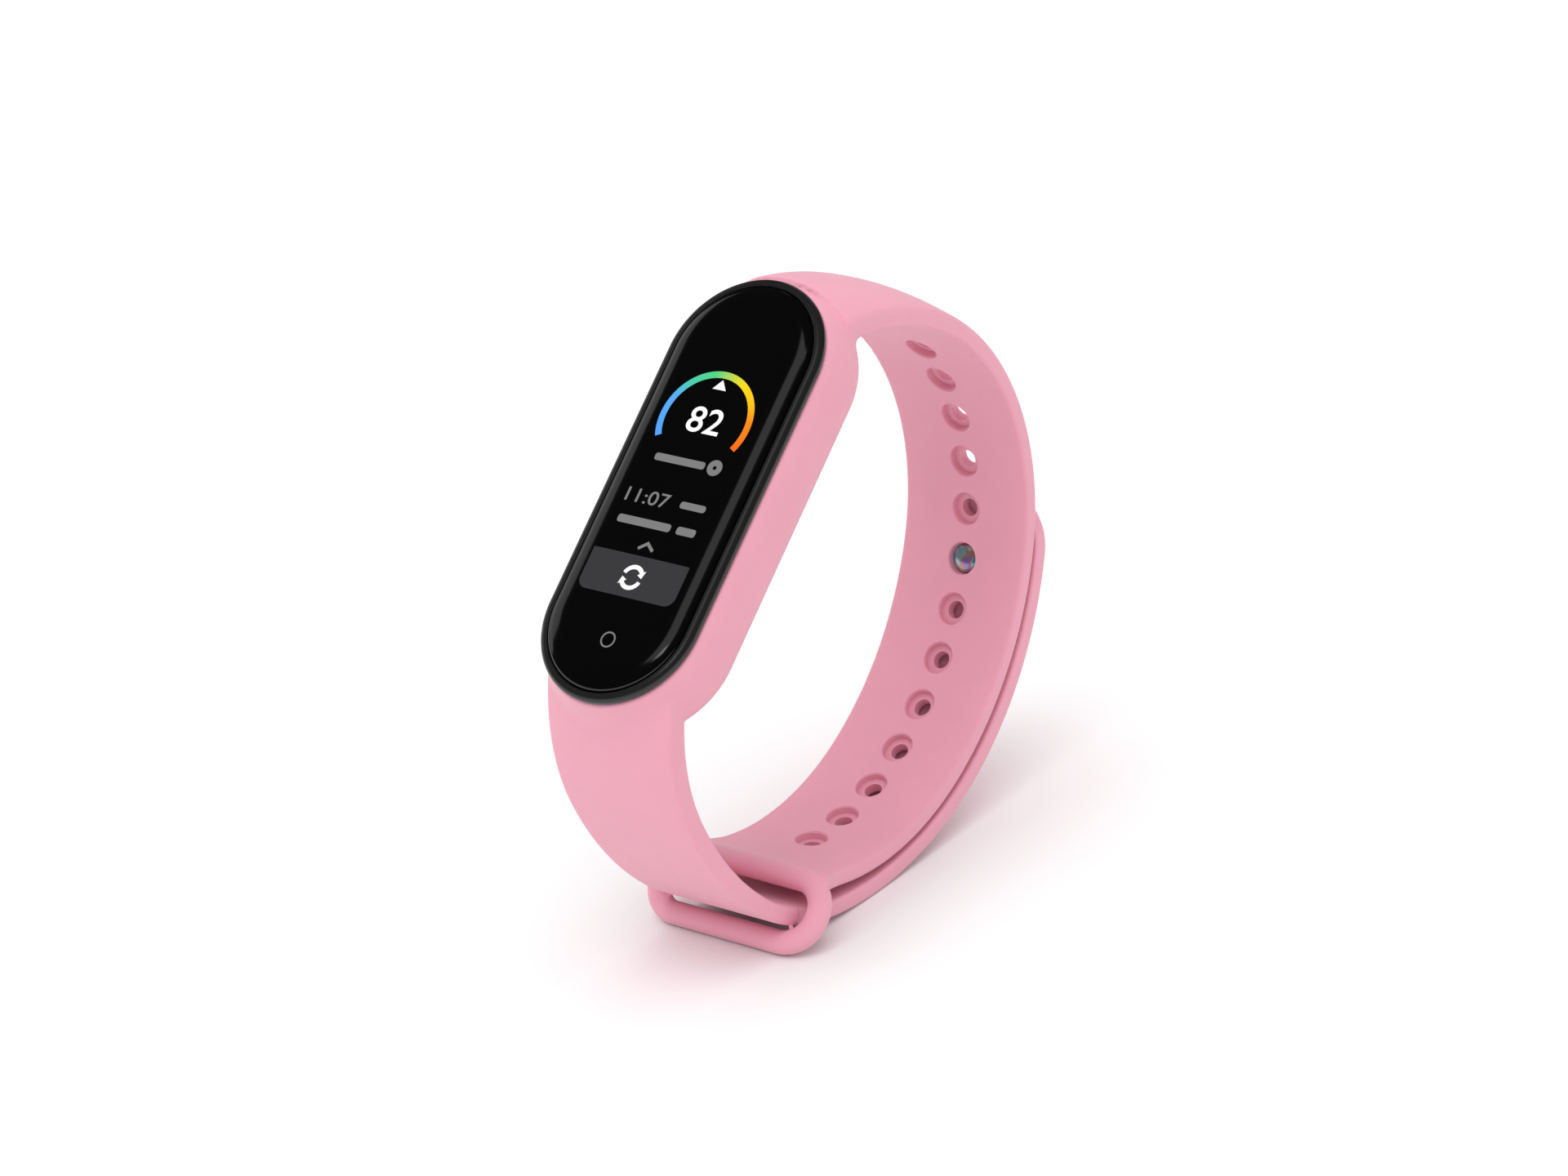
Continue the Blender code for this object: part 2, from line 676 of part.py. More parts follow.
def display_flex(look):
    """Ribbon that leaves the display's back and folds down to the board's front."""
    top = DISPLAY_CENTRE[1] + DISPLAY_SIZE[1] / 2 + 0.2 * MM
    bottom = BOARD_FRONT - 0.2 * MM
    fold = (bottom - top) / 2
    fold_z = -10.0 * MM
    route = [(top, fold_z + 5 * MM)]
    for i in range(9):
        angle = math.pi * i / 8
        route.append((top + fold - fold * math.cos(angle), fold_z - fold * math.sin(angle)))
    route.append((bottom, fold_z + 3 * MM))
    bm = bmesh.new()
    rows = len(route) - 1
    bmesh.ops.create_grid(bm, x_segments=1, y_segments=rows, size=0.5)
    for corner in bm.verts:
        y, z = route[round((corner.co.y + 0.5) * rows)]
        corner.co = (math.copysign(3.0 * MM, corner.co.x), y, z)
    ribbon = add_node("display_flex", mesh_from(bm, "display_flex"), look)
    shell = ribbon.modifiers.new("thickness", "SOLIDIFY")
    shell.thickness = FLEX_THICKNESS
    shell.offset = 0.0
    return ribbon


# ---------------------------------------------------------------- electronics
def main_board(look):
    mesh = stadium("main_board", plate_profile(BOARD_RADIUS, BOARD_FRONT, BOARD_BACK))
    return add_node("main_board", mesh, look)


def board_chip(name, size, x, z, look):
    """A packaged part soldered to the board's back."""
    middle = BOARD_BACK + FIT_GAP + size[1] / 2
    return add_node(name, box(name, size), look, Matrix.Translation((x, middle, z)))


BATTERY_SIZE = (10.6 * MM, 3.2 * MM, 21.0 * MM)
BATTERY_CENTRE = (0.0, 6.35 * MM, 5.6 * MM)
BATTERY_EDGE = 0.5 * MM
BATTERY_TOP = BATTERY_CENTRE[2] + BATTERY_SIZE[2] / 2
PROTECTION_SIZE = (8.0 * MM, 1.6 * MM, 0.8 * MM)
TAB_WIDTH = 1.2 * MM
TAB_THICKNESS = 0.2 * MM
TAB_SPACING = 4.8 * MM


def battery(look):
    mesh = rounded_box("battery", BATTERY_SIZE, BATTERY_EDGE)
    return add_node("battery", mesh, look, Matrix.Translation(BATTERY_CENTRE))


def battery_protection_board(look):
    z = BATTERY_TOP + PROTECTION_SIZE[2] / 2 + FIT_GAP
    mesh = box("battery_protection_board", PROTECTION_SIZE)
    return add_node("battery_protection_board", mesh, look,
                    Matrix.Translation((0.0, BATTERY_CENTRE[1], z)))


def battery_tabs(look):
    """Two nickel strips from the protection board to the main board."""
    z = BATTERY_TOP + PROTECTION_SIZE[2] + 3 * FIT_GAP
    front = BOARD_BACK + FIT_GAP
    back = BATTERY_CENTRE[1] + 0.6 * MM
    for side, x in (("left", -TAB_SPACING / 2), ("right", TAB_SPACING / 2)):
        name = f"battery_tab_{side}"
        size = (TAB_WIDTH, back - front, TAB_THICKNESS)
        add_node(name, box(name, size), look, Matrix.Translation((x, (front + back) / 2, z)))


# ---------------------------------------------------------------- vibration motor
def motor_can(look):
    """Can with a blind bore that carries the shaft."""
    bore = SHAFT_RADIUS + SHAFT_CLEARANCE
    end = MOTOR_CAN_START + MOTOR_CAN_LENGTH
    profile = (
        (MOTOR_RADIUS - MOTOR_CAN_EDGE, MOTOR_CAN_START),
        (MOTOR_RADIUS, MOTOR_CAN_START + MOTOR_CAN_EDGE),
        (MOTOR_RADIUS, end),
        (bore, end),
        (bore, MOTOR_CAN_START + SHAFT_INSET - 4 * SHAFT_CLEARANCE),
    )
    return add_node("motor_can", turned("motor_can", profile), look, along_x(MOTOR_CENTRE))


def motor_shaft(axle, look):
    start = MOTOR_CAN_START + SHAFT_INSET
    end = MOTOR_CAN_START + MOTOR_CAN_LENGTH + WEIGHT_LENGTH + WEIGHT_CLEARANCE + SHAFT_RADIUS / 2
    profile = plate_profile(SHAFT_RADIUS, start, end)
    return add_node("motor_shaft", turned("motor_shaft", profile), look, parent=axle)


def motor_weight(axle, look):
    """Half-round tungsten weight pressed on the shaft, hanging down in the stance."""
    start = MOTOR_CAN_START + MOTOR_CAN_LENGTH + WEIGHT_CLEARANCE
    bore = SHAFT_RADIUS + WEIGHT_BORE_CLEARANCE
    outer = MOTOR_RADIUS - WEIGHT_CLEARANCE / 3
    profile = ((bore, start), (outer, start), (outer, start + WEIGHT_LENGTH),
               (bore, start + WEIGHT_LENGTH))
    mesh = turned("motor_weight", profile, closed=True)
    weight = add_node("motor_weight", mesh, look, parent=axle)
    down_y, down_z = resting_normal()
    reach = 4 * MOTOR_RADIUS
    cutter = add_cutter("weight_cut", box("weight_cut", (reach * 2, reach, reach)))
    middle = WEIGHT_CUT + reach / 2
    cutter.location = Vector(MOTOR_CENTRE) - middle * Vector((0.0, down_y, down_z))
    cutter.rotation_euler = (math.atan2(down_z, down_y), 0.0, 0.0)
    combine(weight, cutter, "DIFFERENCE")
    return weight


# ---------------------------------------------------------------- optical sensor and charging
WINDOW_RADIUS = 4.3 * MM
CONTACT_RADIUS = 0.9 * MM
SENSOR_BOARD_FRONT = 8.5 * MM
SENSOR_BOARD_BACK = SENSOR_BOARD_FRONT + 0.5 * MM


def sensor_window(look):
    """Clear domed window in the back, hollow inside over the sensor."""
    inner = FLOOR_FRONT + 0.1 * MM
    profile = (
        (WINDOW_RADIUS - 0.7 * MM, inner),
        (WINDOW_RADIUS, inner),
        (WINDOW_RADIUS, HOUSING_BACK + 0.05 * MM),
        (WINDOW_RADIUS - 0.4 * MM, HOUSING_BACK + 0.45 * MM),
        (WINDOW_RADIUS - 1.3 * MM, WINDOW_BACK - 0.12 * MM),
        (WINDOW_RADIUS - 2.3 * MM, WINDOW_BACK),
    )
    lens = add_node("sensor_window", turned("sensor_window", profile, steps=ROUND_STEPS), look)
    hollow = plate_profile(WINDOW_RADIUS - 0.7 * MM, inner - 1 * MM, HOUSING_BACK - 0.05 * MM)
    combine(lens, add_cutter("window_hollow", turned("window_hollow", hollow)), "DIFFERENCE")
    return lens


def sensor_board(look):
    disc = plate_profile(WINDOW_RADIUS, SENSOR_BOARD_FRONT, SENSOR_BOARD_BACK)
    return add_node("sensor_board", turned("sensor_board", disc), look)


def sensor_leds(look):
    """Two green emitters, above and below the detector."""
    size = (1.2 * MM, 0.6 * MM, 1.0 * MM)
    for side, z in (("lower", -2.6 * MM), ("upper", 2.6 * MM)):
        name = f"sensor_led_{side}"
        centre = (0.0, SENSOR_BOARD_BACK + FIT_GAP + size[1] / 2, z)
        add_node(name, box(name, size), look, Matrix.Translation(centre))


def photodiode(look):
    size = (2.0 * MM, 0.6 * MM, 1.6 * MM)
    centre = (0.0, SENSOR_BOARD_BACK + FIT_GAP + size[1] / 2, 0.0)
    return add_node("photodiode", box("photodiode", size), look, Matrix.Translation(centre))


def light_barrier(look):
    """Black ring that keeps the emitters' light away from the detector."""
    inner, outer = 1.55 * MM, 1.85 * MM
    front = SENSOR_BOARD_BACK + FIT_GAP
    back = front + 1.6 * MM
    profile = ((inner, front), (outer, front), (outer, back), (inner, back))
    return add_node("light_barrier", turned("light_barrier", profile, closed=True), look)


def charging_contacts(look):
    """Two gold pads, set just proud of the back."""
    front = FLOOR_FRONT - 0.4 * MM
    back = HOUSING_BACK + 0.1 * MM
    profile = (
        (CONTACT_RADIUS - 0.1 * MM, front),
        (CONTACT_RADIUS, front + 0.1 * MM),
        (CONTACT_RADIUS, back - 0.15 * MM),
        (CONTACT_RADIUS - 0.25 * MM, back),
    )
    for side, centre in zip(("left", "right"), contact_positions()):
        name = f"charging_contact_{side}"
        add_node(name, turned(name, profile), look, Matrix.Translation(centre))


def charging_magnets(look):
    """Two magnets inside the floor that hold the charging cradle."""
    disc = plate_profile(1.4 * MM, FLOOR_FRONT - 1.4 * MM, FLOOR_FRONT - FIT_GAP)
    for side, z in (("lower", -18.2 * MM), ("upper", -7.6 * MM)):
        name = f"charging_magnet_{side}"
        add_node(name, turned(name, disc), look, Matrix.Translation((0, 0, z)))


# ---------------------------------------------------------------- stance
def resting_normal():
    """Unit (y, z) direction of down when the ring and the tail's curve both rest on a floor."""
    ring_y, ring_z = RING_OUTER_BAR
    reach = sum(radius * math.radians(abs(turn))
                for radius, turn in LOWER_ARM["arcs"][:FLOOR_ARC])
    radius = LOWER_ARM["arcs"][FLOOR_ARC][0]
    y, z, heading = walk(LOWER_ARM, reach)
    centre_y = y - radius * math.cos(heading)
    centre_z = z + radius * math.sin(heading)
    gap_y, gap_z = ring_y - centre_y, ring_z - centre_z
    excess = radius + HALF_THICKNESS - RING_BAR_RADIUS
    spread = math.hypot(gap_y, gap_z)
    angle = math.atan2(gap_z, gap_y) + math.acos(excess / spread)
    return math.cos(angle), math.sin(angle)


def world_bounds():
    bpy.context.view_layer.update()
    depsgraph = bpy.context.evaluated_depsgraph_get()
    corners = []
    for item in PARTS.objects:
        solid = item.evaluated_get(depsgraph)
        corners += [solid.matrix_world @ corner.co for corner in solid.data.vertices]
    low = [min(corner[axis] for corner in corners) for axis in range(3)]
    high = [max(corner[axis] for corner in corners) for axis in range(3)]
    return low, high


def set_stance():
    """Lean the band onto its ring and tail, and stand it on the floor's centre."""
    down_y, down_z = resting_normal()
    STANCE.rotation_euler = (math.atan2(-down_y, -down_z), 0.0, 0.0)
    low, high = world_bounds()
    STANCE.location = (0.0, -(low[1] + high[1]) / 2, -low[2])
    bpy.context.view_layer.update()


# ---------------------------------------------------------------- build
PINK = ((0.83, 0.37, 0.49), 0.55)
GLOSS_BLACK = ((0.008, 0.008, 0.009), 0.12)
POLISHED = ((0.78, 0.79, 0.82), 0.15, 1.0)
GOLD = ((0.85, 0.62, 0.25), 0.25, 1.0)
STEEL = ((0.6, 0.6, 0.62), 0.3, 1.0)
BOARD_GREEN = ((0.02, 0.12, 0.05), 0.45)
CHIP_BLACK = ((0.02, 0.02, 0.022), 0.5)


def build_strap():
    strap_body(PINK)
    flex = add_joint("clasp_flex_line", arm_frame(LOWER_ARM, hinge_distance()))
    strap_tail(flex, PINK)
    clasp_stud(flex, POLISHED)


def build_shell():
    cover_glass(((0.004, 0.004, 0.005), 0.05))
    glass_adhesive(((0.03, 0.03, 0.03), 0.7))
    bezel_housing(GLOSS_BLACK)
    housing_seal(((0.25, 0.25, 0.27), 0.7))
    rear_housing(((0.012, 0.012, 0.013), 0.4))


def build_electronics():
    touch_sensor(((0.05, 0.05, 0.06), 0.2))
    display_panel(((0.02, 0.02, 0.025), 0.15))
    display_flex(((0.45, 0.22, 0.03), 0.4))
    main_board(BOARD_GREEN)
    board_chip("processor_chip", (5.0 * MM, 0.8 * MM, 5.0 * MM), 0.0, 2.0 * MM, CHIP_BLACK)
    board_chip("power_chip", (3.0 * MM, 0.7 * MM, 3.0 * MM), 3.2 * MM, -4.2 * MM, CHIP_BLACK)
    board_chip("motion_sensor_chip", (2.5 * MM, 0.8 * MM, 3.0 * MM), -3.2 * MM, -4.2 * MM,
               ((0.12, 0.12, 0.13), 0.4))
    board_chip("antenna", (6.5 * MM, 1.0 * MM, 1.6 * MM), 0.0, 18.9 * MM,
               ((0.75, 0.75, 0.72), 0.5))
    battery(((0.55, 0.56, 0.58), 0.35, 0.8))
    battery_protection_board(BOARD_GREEN)
    battery_tabs(STEEL)


def build_motor():
    motor_can(STEEL)
    axle = add_joint("motor_axle", along_x(MOTOR_CENTRE))
    motor_shaft(axle, STEEL)
    motor_weight(axle, ((0.35, 0.36, 0.38), 0.35, 1.0))


def build_sensor_and_charging():
    sensor_board(BOARD_GREEN)
    sensor_leds(((0.25, 0.8, 0.3), 0.3))
    photodiode(((0.03, 0.03, 0.05), 0.15))
    light_barrier(CHIP_BLACK)
    sensor_window(((0.05, 0.055, 0.06), 0.06))
    charging_contacts(GOLD)
    charging_magnets(STEEL)


clear_scene()
PARTS = new_collection(COLLECTION)
TOOLS = new_collection("cutters")
STANCE = bpy.data.objects.new("stance", None)
PARTS.objects.link(STANCE)
build_strap()
build_shell()
build_electronics()
build_motor()
build_sensor_and_charging()
PARTS.objects.unlink(STANCE)
TOOLS.objects.link(STANCE)
set_stance()
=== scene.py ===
"""Looks of a fitness tracker band: silicone strap, glass-fronted capsule and lit screen.

Pieces are drawn in the capsule's own frame (X across the wrist, Y from the screen towards
the wrist, Z up the screen) and set in the row frame by the STANCE matrix.
"""
import json
import math

import bmesh
import bpy
import numpy as np
from mathutils import Matrix, Vector


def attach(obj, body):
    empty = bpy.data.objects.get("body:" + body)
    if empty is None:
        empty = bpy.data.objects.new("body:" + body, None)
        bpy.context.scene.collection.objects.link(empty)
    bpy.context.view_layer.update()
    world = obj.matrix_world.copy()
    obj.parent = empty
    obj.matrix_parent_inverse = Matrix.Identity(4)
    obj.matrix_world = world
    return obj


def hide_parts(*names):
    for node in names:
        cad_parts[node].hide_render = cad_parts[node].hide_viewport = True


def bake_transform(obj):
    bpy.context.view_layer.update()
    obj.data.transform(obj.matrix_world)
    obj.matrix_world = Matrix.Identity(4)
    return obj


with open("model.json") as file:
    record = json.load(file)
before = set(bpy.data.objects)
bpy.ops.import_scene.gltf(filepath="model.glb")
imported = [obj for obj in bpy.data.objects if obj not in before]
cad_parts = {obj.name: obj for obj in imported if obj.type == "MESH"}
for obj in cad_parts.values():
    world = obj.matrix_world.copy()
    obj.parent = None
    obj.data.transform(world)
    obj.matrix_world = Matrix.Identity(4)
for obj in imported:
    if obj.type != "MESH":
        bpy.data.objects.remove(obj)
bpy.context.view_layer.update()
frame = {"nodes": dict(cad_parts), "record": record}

MM = 0.001

# ---------------------------------------------------------------- capsule dimensions
BEZEL_RADIUS = 9.075 * MM
HALF_STRAIGHT = 14.4 * MM
GLASS_RADIUS = 8.025 * MM
BODY_RADIUS = 8.205 * MM
CAVITY_RADIUS = 7.405 * MM
CRADLE_RADIUS = 9.955 * MM
POCKET_RADIUS = 8.505 * MM
GLASS_BACK = 0.45 * MM
CRADLE_FRONT = 1.25 * MM
CRADLE_BACK = 8.5 * MM
HOUSING_BACK = 11.0 * MM
FLOOR_FRONT = 10.0 * MM
WINDOW_RADIUS = 4.3 * MM
CONTACT_RADIUS = 0.9 * MM
CONTACT_PLACES = ((-2.2 * MM, -14.0 * MM), (2.2 * MM, -14.0 * MM))
MOTOR_CENTRE = (0.0, 6.2 * MM, -11.5 * MM)
SHELL_FRONT = 3.1 * MM

# ---------------------------------------------------------------- strap dimensions
HALF_WIDTH = 7.8 * MM
THICKNESS = 1.9 * MM
HALF_THICKNESS = THICKNESS / 2
ROOT_THICKNESS = 2.6 * MM
ROOT_REACH = 26.0 * MM
TIP_RADIUS = 6.2 * MM
CROWN_POWER = 2.4
HOLE_COUNT = 13
HOLE_PITCH = 5.545 * MM
FIRST_HOLE = 24.8 * MM
STUD_HOLE = 6
COUNTERBORE_RADIUS = 1.7 * MM
COUNTERBORE_DEPTH = 0.75 * MM
THROUGH_RADIUS = 0.95 * MM
HOLE_LIP = 0.09 * MM
SHOULDER_REACH = 6.0 * MM
RING_INNER_BAR = (36.3 * MM, -25.0 * MM)
RING_OUTER_BAR = (36.9 * MM, -31.75 * MM)
RING_BAR_RADIUS = 1.25 * MM
RING_HALF_WIDTH = 9.95 * MM
RING_CORNER = 3.3 * MM
SPLIT = 37.3 * MM
STUD_DISTANCE = 92.07 * MM
STUD_HEAD_RADIUS = 1.5 * MM
STUD_HEAD_RISE = 0.5 * MM
STUD_HEAD_SINK = 0.22 * MM
STUD_NECK_RADIUS = 1.0 * MM
STUD_BORE_RADIUS = 1.15 * MM
STUD_SEAT_RADIUS = 3.0 * MM
STUD_SEAT_DEPTH = 0.8 * MM
STUD_FLANGE_RADIUS = 2.85 * MM
STUD_FLANGE_SINK = 0.1 * MM
HINGE_DISTANCE = 80.07 * MM
BLEND_REACH = 7.5 * MM

# Mid-surface routes in side view: (y, z) start, heading from +Z towards +Y, tangent arcs.
UPPER_ARM = {
    "start": (4.5 * MM, 21.0 * MM),
    "heading": 42.5,
    "arcs": ((32.0 * MM, 25.0), (26.0 * MM, 82.5), (33.0 * MM, 41.0), (28.1 * MM, 54.3)),
    "side": 1.0,
    "crown": 3.7 * MM,
    "crown_reach": 38.0 * MM,
}
LOWER_ARM = {
    "start": (3.6 * MM, -19.0 * MM),
    "heading": 150.2,
    "arcs": (
        (21.6 * MM, -41.9),
        (35.9 * MM, -25.4),
        (19.4 * MM, -28.4),
        (37.3 * MM, -27.3),
        (32.8 * MM, -32.8),
        (33.7 * MM, -31.5),
        (35.6 * MM, -6.2),
    ),
    "side": -1.0,
    "crown": 2.0 * MM,
    "crown_reach": 24.0 * MM,
}
VOXEL = 0.2 * MM
OUTLINE_STEPS = 144
SHARP_ANGLE = math.radians(35.0)


# ---------------------------------------------------------------- frame and meshes
def stance():
    """The capsule frame in the row frame, from the record's own axes and points."""
    joints = {joint["name"]: joint for joint in frame["record"]["behaviour"]["joints"]}
    outward = joints["capsule_pop_out"]["axis"]
    turn = Matrix.Rotation(math.atan2(-outward[2], -outward[1]), 4, "X")
    place = Vector(joints["motor_spin"]["pos_m"]) - turn @ Vector(MOTOR_CENTRE)
    return Matrix.Translation(place) @ turn


STANCE = stance()


def finish_mesh(bm, name):
    """Mesh from a bmesh, which is used up, with its faces turned outwards."""
    bmesh.ops.recalc_face_normals(bm, faces=bm.faces[:])
    mesh = bpy.data.meshes.new(name)
    bm.to_mesh(mesh)
    bm.free()
    return mesh


def add_piece(name, mesh, material, body=None, nodes=()):
    """Show a mesh, given in the capsule frame, as a piece that rides on a CAD body."""
    mesh.transform(STANCE)
    piece = bpy.data.objects.new(name, mesh)
    bpy.context.scene.collection.objects.link(piece)
    mesh.materials.clear()
    mesh.materials.append(material)
    mesh.shade_smooth()
    mesh.set_sharp_from_angle(angle=SHARP_ANGLE)
    if body:
        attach(piece, body)
    if nodes:
        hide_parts(*nodes)
    return piece


def cut(mesh, cutter):
    """The mesh less a cutter mesh."""
    scene = bpy.context.scene.collection
    subject = bpy.data.objects.new("subject", mesh)
    tool = bpy.data.objects.new("tool", cutter)
    scene.objects.link(subject)
    scene.objects.link(tool)
    step = subject.modifiers.new("cut", "BOOLEAN")
    step.operation = "DIFFERENCE"
    step.solver = "EXACT"
    step.object = tool
    result = bpy.data.meshes.new_from_object(
        subject.evaluated_get(bpy.context.evaluated_depsgraph_get()))
    result.name = mesh.name
    for item in (subject, tool):
        bpy.data.objects.remove(item)
    return result


# ---------------------------------------------------------------- turned shapes
def smooth_profile(points, steps=6):
    """Points along a smooth curve through a profile's corners (Catmull-Rom)."""
    ends = [points[0], *points, points[-1]]
    out = []
    for p0, p1, p2, p3 in zip(ends, ends[1:], ends[2:], ends[3:]):
        for i in range(steps):
            t = i / steps
            out.append(tuple(
                0.5 * (2 * b + (c - a) * t + (2 * a - 5 * b + 4 * c - d) * t ** 2
                       + (3 * b - a - 3 * c + d) * t ** 3)
                for a, b, c, d in zip(p0, p1, p2, p3)))
    return out + [points[-1]]


def add_turned(bm, profile, place=None, steps=64, closed=False, half_straight=0.0):
    """Spin (radius, height) pairs round Y; half_straight draws the halves apart along Z."""
    lathe = bmesh.new()
    first = Matrix.Rotation(math.pi / steps, 3, "Y")
    corners = [lathe.verts.new(first @ Vector((r, y, 0.0))) for r, y in profile]
    pairs = list(zip(corners, corners[1:]))
    if closed:
        pairs.append((corners[-1], corners[0]))
    edges = [lathe.edges.new(pair) for pair in pairs]
    bmesh.ops.spin(lathe, geom=corners + edges, cent=(0, 0, 0), axis=(0, 1, 0), dvec=(0, 0, 0),
                   angle=2 * math.pi, steps=steps, use_merge=True)
    if not closed:
        bmesh.ops.holes_fill(lathe, edges=lathe.edges[:], sides=0)
    for corner in lathe.verts:
        corner.co.z += math.copysign(half_straight, corner.co.z)
    bmesh.ops.transform(lathe, matrix=place or Matrix.Identity(4), verts=lathe.verts[:])
    bmesh.ops.recalc_face_normals(lathe, faces=lathe.faces[:])
    part = bpy.data.meshes.new("turned")
    lathe.to_mesh(part)
    lathe.free()
    bm.from_mesh(part)
    bpy.data.meshes.remove(part)


def turned(name, profile, place=None, steps=64, closed=False):
    bm = bmesh.new()
    add_turned(bm, profile, place, steps, closed)
    return finish_mesh(bm, name)


def stadium(name, profile, closed=False):
    """The capsule's own outline: a turned shape with its halves drawn apart."""
    bm = bmesh.new()
    add_turned(bm, profile, None, OUTLINE_STEPS, closed, HALF_STRAIGHT)
    return finish_mesh(bm, name)


# ---------------------------------------------------------------- strap
def walk(arm, distance):
    """Point (y, z) and heading in radians at a distance along an arm's mid-surface."""
    y, z = arm["start"]
    heading = math.radians(arm["heading"])
    for radius, turn in arm["arcs"]:
        bend = math.copysign(radius, turn)
        step = min(distance, radius * math.radians(abs(turn)))
        turned_to = heading + step / bend
        y += bend * (math.cos(heading) - math.cos(turned_to))
        z += bend * (math.sin(turned_to) - math.sin(heading))
        heading = turned_to
        distance -= step
    return y, z, heading


def arm_length(arm):
    return sum(radius * math.radians(abs(turn)) for radius, turn in arm["arcs"])


def arm_frame(arm, distance):
    """Placement at a point of an arm: local Y leaves the wrist, local Z runs along it."""
    y, z, heading = walk(arm, distance)
    along = Vector((0.0, math.sin(heading), math.cos(heading)))
    outward = arm["side"] * Vector((0.0, -math.cos(heading), math.sin(heading)))
    across = outward.cross(along)
    place = Matrix((across, outward, along)).transposed().to_4x4()
    place.translation = (0.0, y, z)
    return place


def fade(distance, reach):
    return max(1 - distance / reach, 0.0) ** 2


def strap_section(half_width, thickness, crown, corner_steps=6, flat_steps=14):
    """Rounded outline of the strap as (across, outward) points, crowned on its outer face."""
    half = thickness / 2
    corners = ((1, 1, 0.5 * MM), (-1, 1, 0.5 * MM), (-1, -1, 0.35 * MM), (1, -1, 0.35 * MM))
    outline = []
    for quarter, (across, outward, edge) in enumerate(corners):
        radius = min(edge, half, half_width)
        flat = half_width - radius
        for i in range(corner_steps + 1):
            angle = math.pi / 2 * (quarter + i / corner_steps)
            outline.append((across * flat + radius * math.cos(angle),
                            outward * (half - radius) + radius * math.sin(angle)))
        if quarter % 2 == 0:
            outline += [(across * flat * (1 - 2 * i / flat_steps), outward * half)
                        for i in range(1, flat_steps)]
    return [(x, y + crown * (1 - abs(x / half_width) ** CROWN_POWER) if y > 0 else y)
            for x, y in outline]


def strap_length(name, arm, stations, half_width, thickness):
    """Closed length of strap that follows an arm through its stations."""
    places = [arm_frame(arm, s) for s in stations]
    outlines = [strap_section(half_width(s), thickness(s),
                              arm["crown"] * fade(s, arm["crown_reach"])) for s in stations]
    columns = len(outlines[0])
    rows = len(stations) - 1
    bm = bmesh.new()
    bmesh.ops.create_grid(bm, x_segments=columns, y_segments=rows, size=0.5)
    for corner in bm.verts:
        row = round((corner.co.y + 0.5) * rows)
        column = round((corner.co.x + 0.5) * columns) % columns
        corner.co = places[row] @ Vector((*outlines[row][column], 0.0))
    bmesh.ops.remove_doubles(bm, verts=bm.verts[:], dist=0.0005 * MM)
    bmesh.ops.holes_fill(bm, edges=bm.edges[:], sides=0)
    return finish_mesh(bm, name)


def even_stations(start, end, step=0.5 * MM):
    count = max(round((end - start) / step), 1)
    return [start + (end - start) * i / count for i in range(count + 1)]


def upper_half_width(distance):
    """Half width of the upper arm, whose shoulders meet the outside of the ring's corners."""
    reach = math.sqrt((RING_CORNER + RING_BAR_RADIUS) ** 2 - RING_CORNER ** 2)
    shoulder = RING_HALF_WIDTH - RING_CORNER + reach - HALF_WIDTH
    return HALF_WIDTH + shoulder * fade(arm_length(UPPER_ARM) - distance, SHOULDER_REACH)


def lower_thickness(distance):
    return THICKNESS + (ROOT_THICKNESS - THICKNESS) * fade(distance, ROOT_REACH)


def cradle_profile():
    return smooth_profile((
        (BEZEL_RADIUS - 0.6 * MM, CRADLE_FRONT),
        (BEZEL_RADIUS - 0.1 * MM, CRADLE_FRONT),
        (BEZEL_RADIUS + 0.1 * MM, CRADLE_FRONT + 0.12 * MM),
        (BEZEL_RADIUS + 0.3 * MM, CRADLE_FRONT + 0.55 * MM),
        (CRADLE_RADIUS - 0.28 * MM, CRADLE_FRONT + 1.6 * MM),
        (CRADLE_RADIUS - 0.07 * MM, CRADLE_FRONT + 2.8 * MM),
        (CRADLE_RADIUS, CRADLE_BACK - 3.2 * MM),
        (CRADLE_RADIUS, CRADLE_BACK - 2.6 * MM),
        (CRADLE_RADIUS - 0.4 * MM, CRADLE_BACK - 1.4 * MM),
        (CRADLE_RADIUS - 1.1 * MM, CRADLE_BACK - 0.4 * MM),
        (CRADLE_RADIUS - 1.7 * MM, CRADLE_BACK),
        (CRADLE_RADIUS - 2.6 * MM, CRADLE_BACK),
    ), 5)


def pocket_profile():
    """The pocket, with an eased front edge and a lip behind the capsule's widest part."""
    return (
        (POCKET_RADIUS + 0.15 * MM, CRADLE_FRONT - 4 * MM),
        (POCKET_RADIUS + 0.15 * MM, CRADLE_FRONT),
        (POCKET_RADIUS, CRADLE_FRONT + 0.3 * MM),
        (POCKET_RADIUS, CRADLE_BACK - 2.0 * MM),
        (POCKET_RADIUS - 0.6 * MM, CRADLE_BACK - 0.3 * MM),
        (POCKET_RADIUS - 0.6 * MM, CRADLE_BACK + 9 * MM),
    )


def ring_route(steps=12):
    """The keeper ring's centre line: a rounded rectangle standing across the strap."""
    inner = Vector((0.0, *RING_INNER_BAR))
    outer = Vector((0.0, *RING_OUTER_BAR))
    across = Vector((1.0, 0.0, 0.0))
    upright = (outer - inner).normalized()
    half_x = RING_HALF_WIDTH - RING_CORNER
    half_y = (outer - inner).length / 2 - RING_CORNER
    route = []
    for corner, (sx, sy) in enumerate(((1, 1), (-1, 1), (-1, -1), (1, -1))):
        for i in range(steps + 1):
            angle = math.pi / 2 * (corner + i / steps)
            route.append((inner + outer) / 2
                         + across * (sx * half_x + RING_CORNER * math.cos(angle))
                         + upright * (sy * half_y + RING_CORNER * math.sin(angle)))
    return route


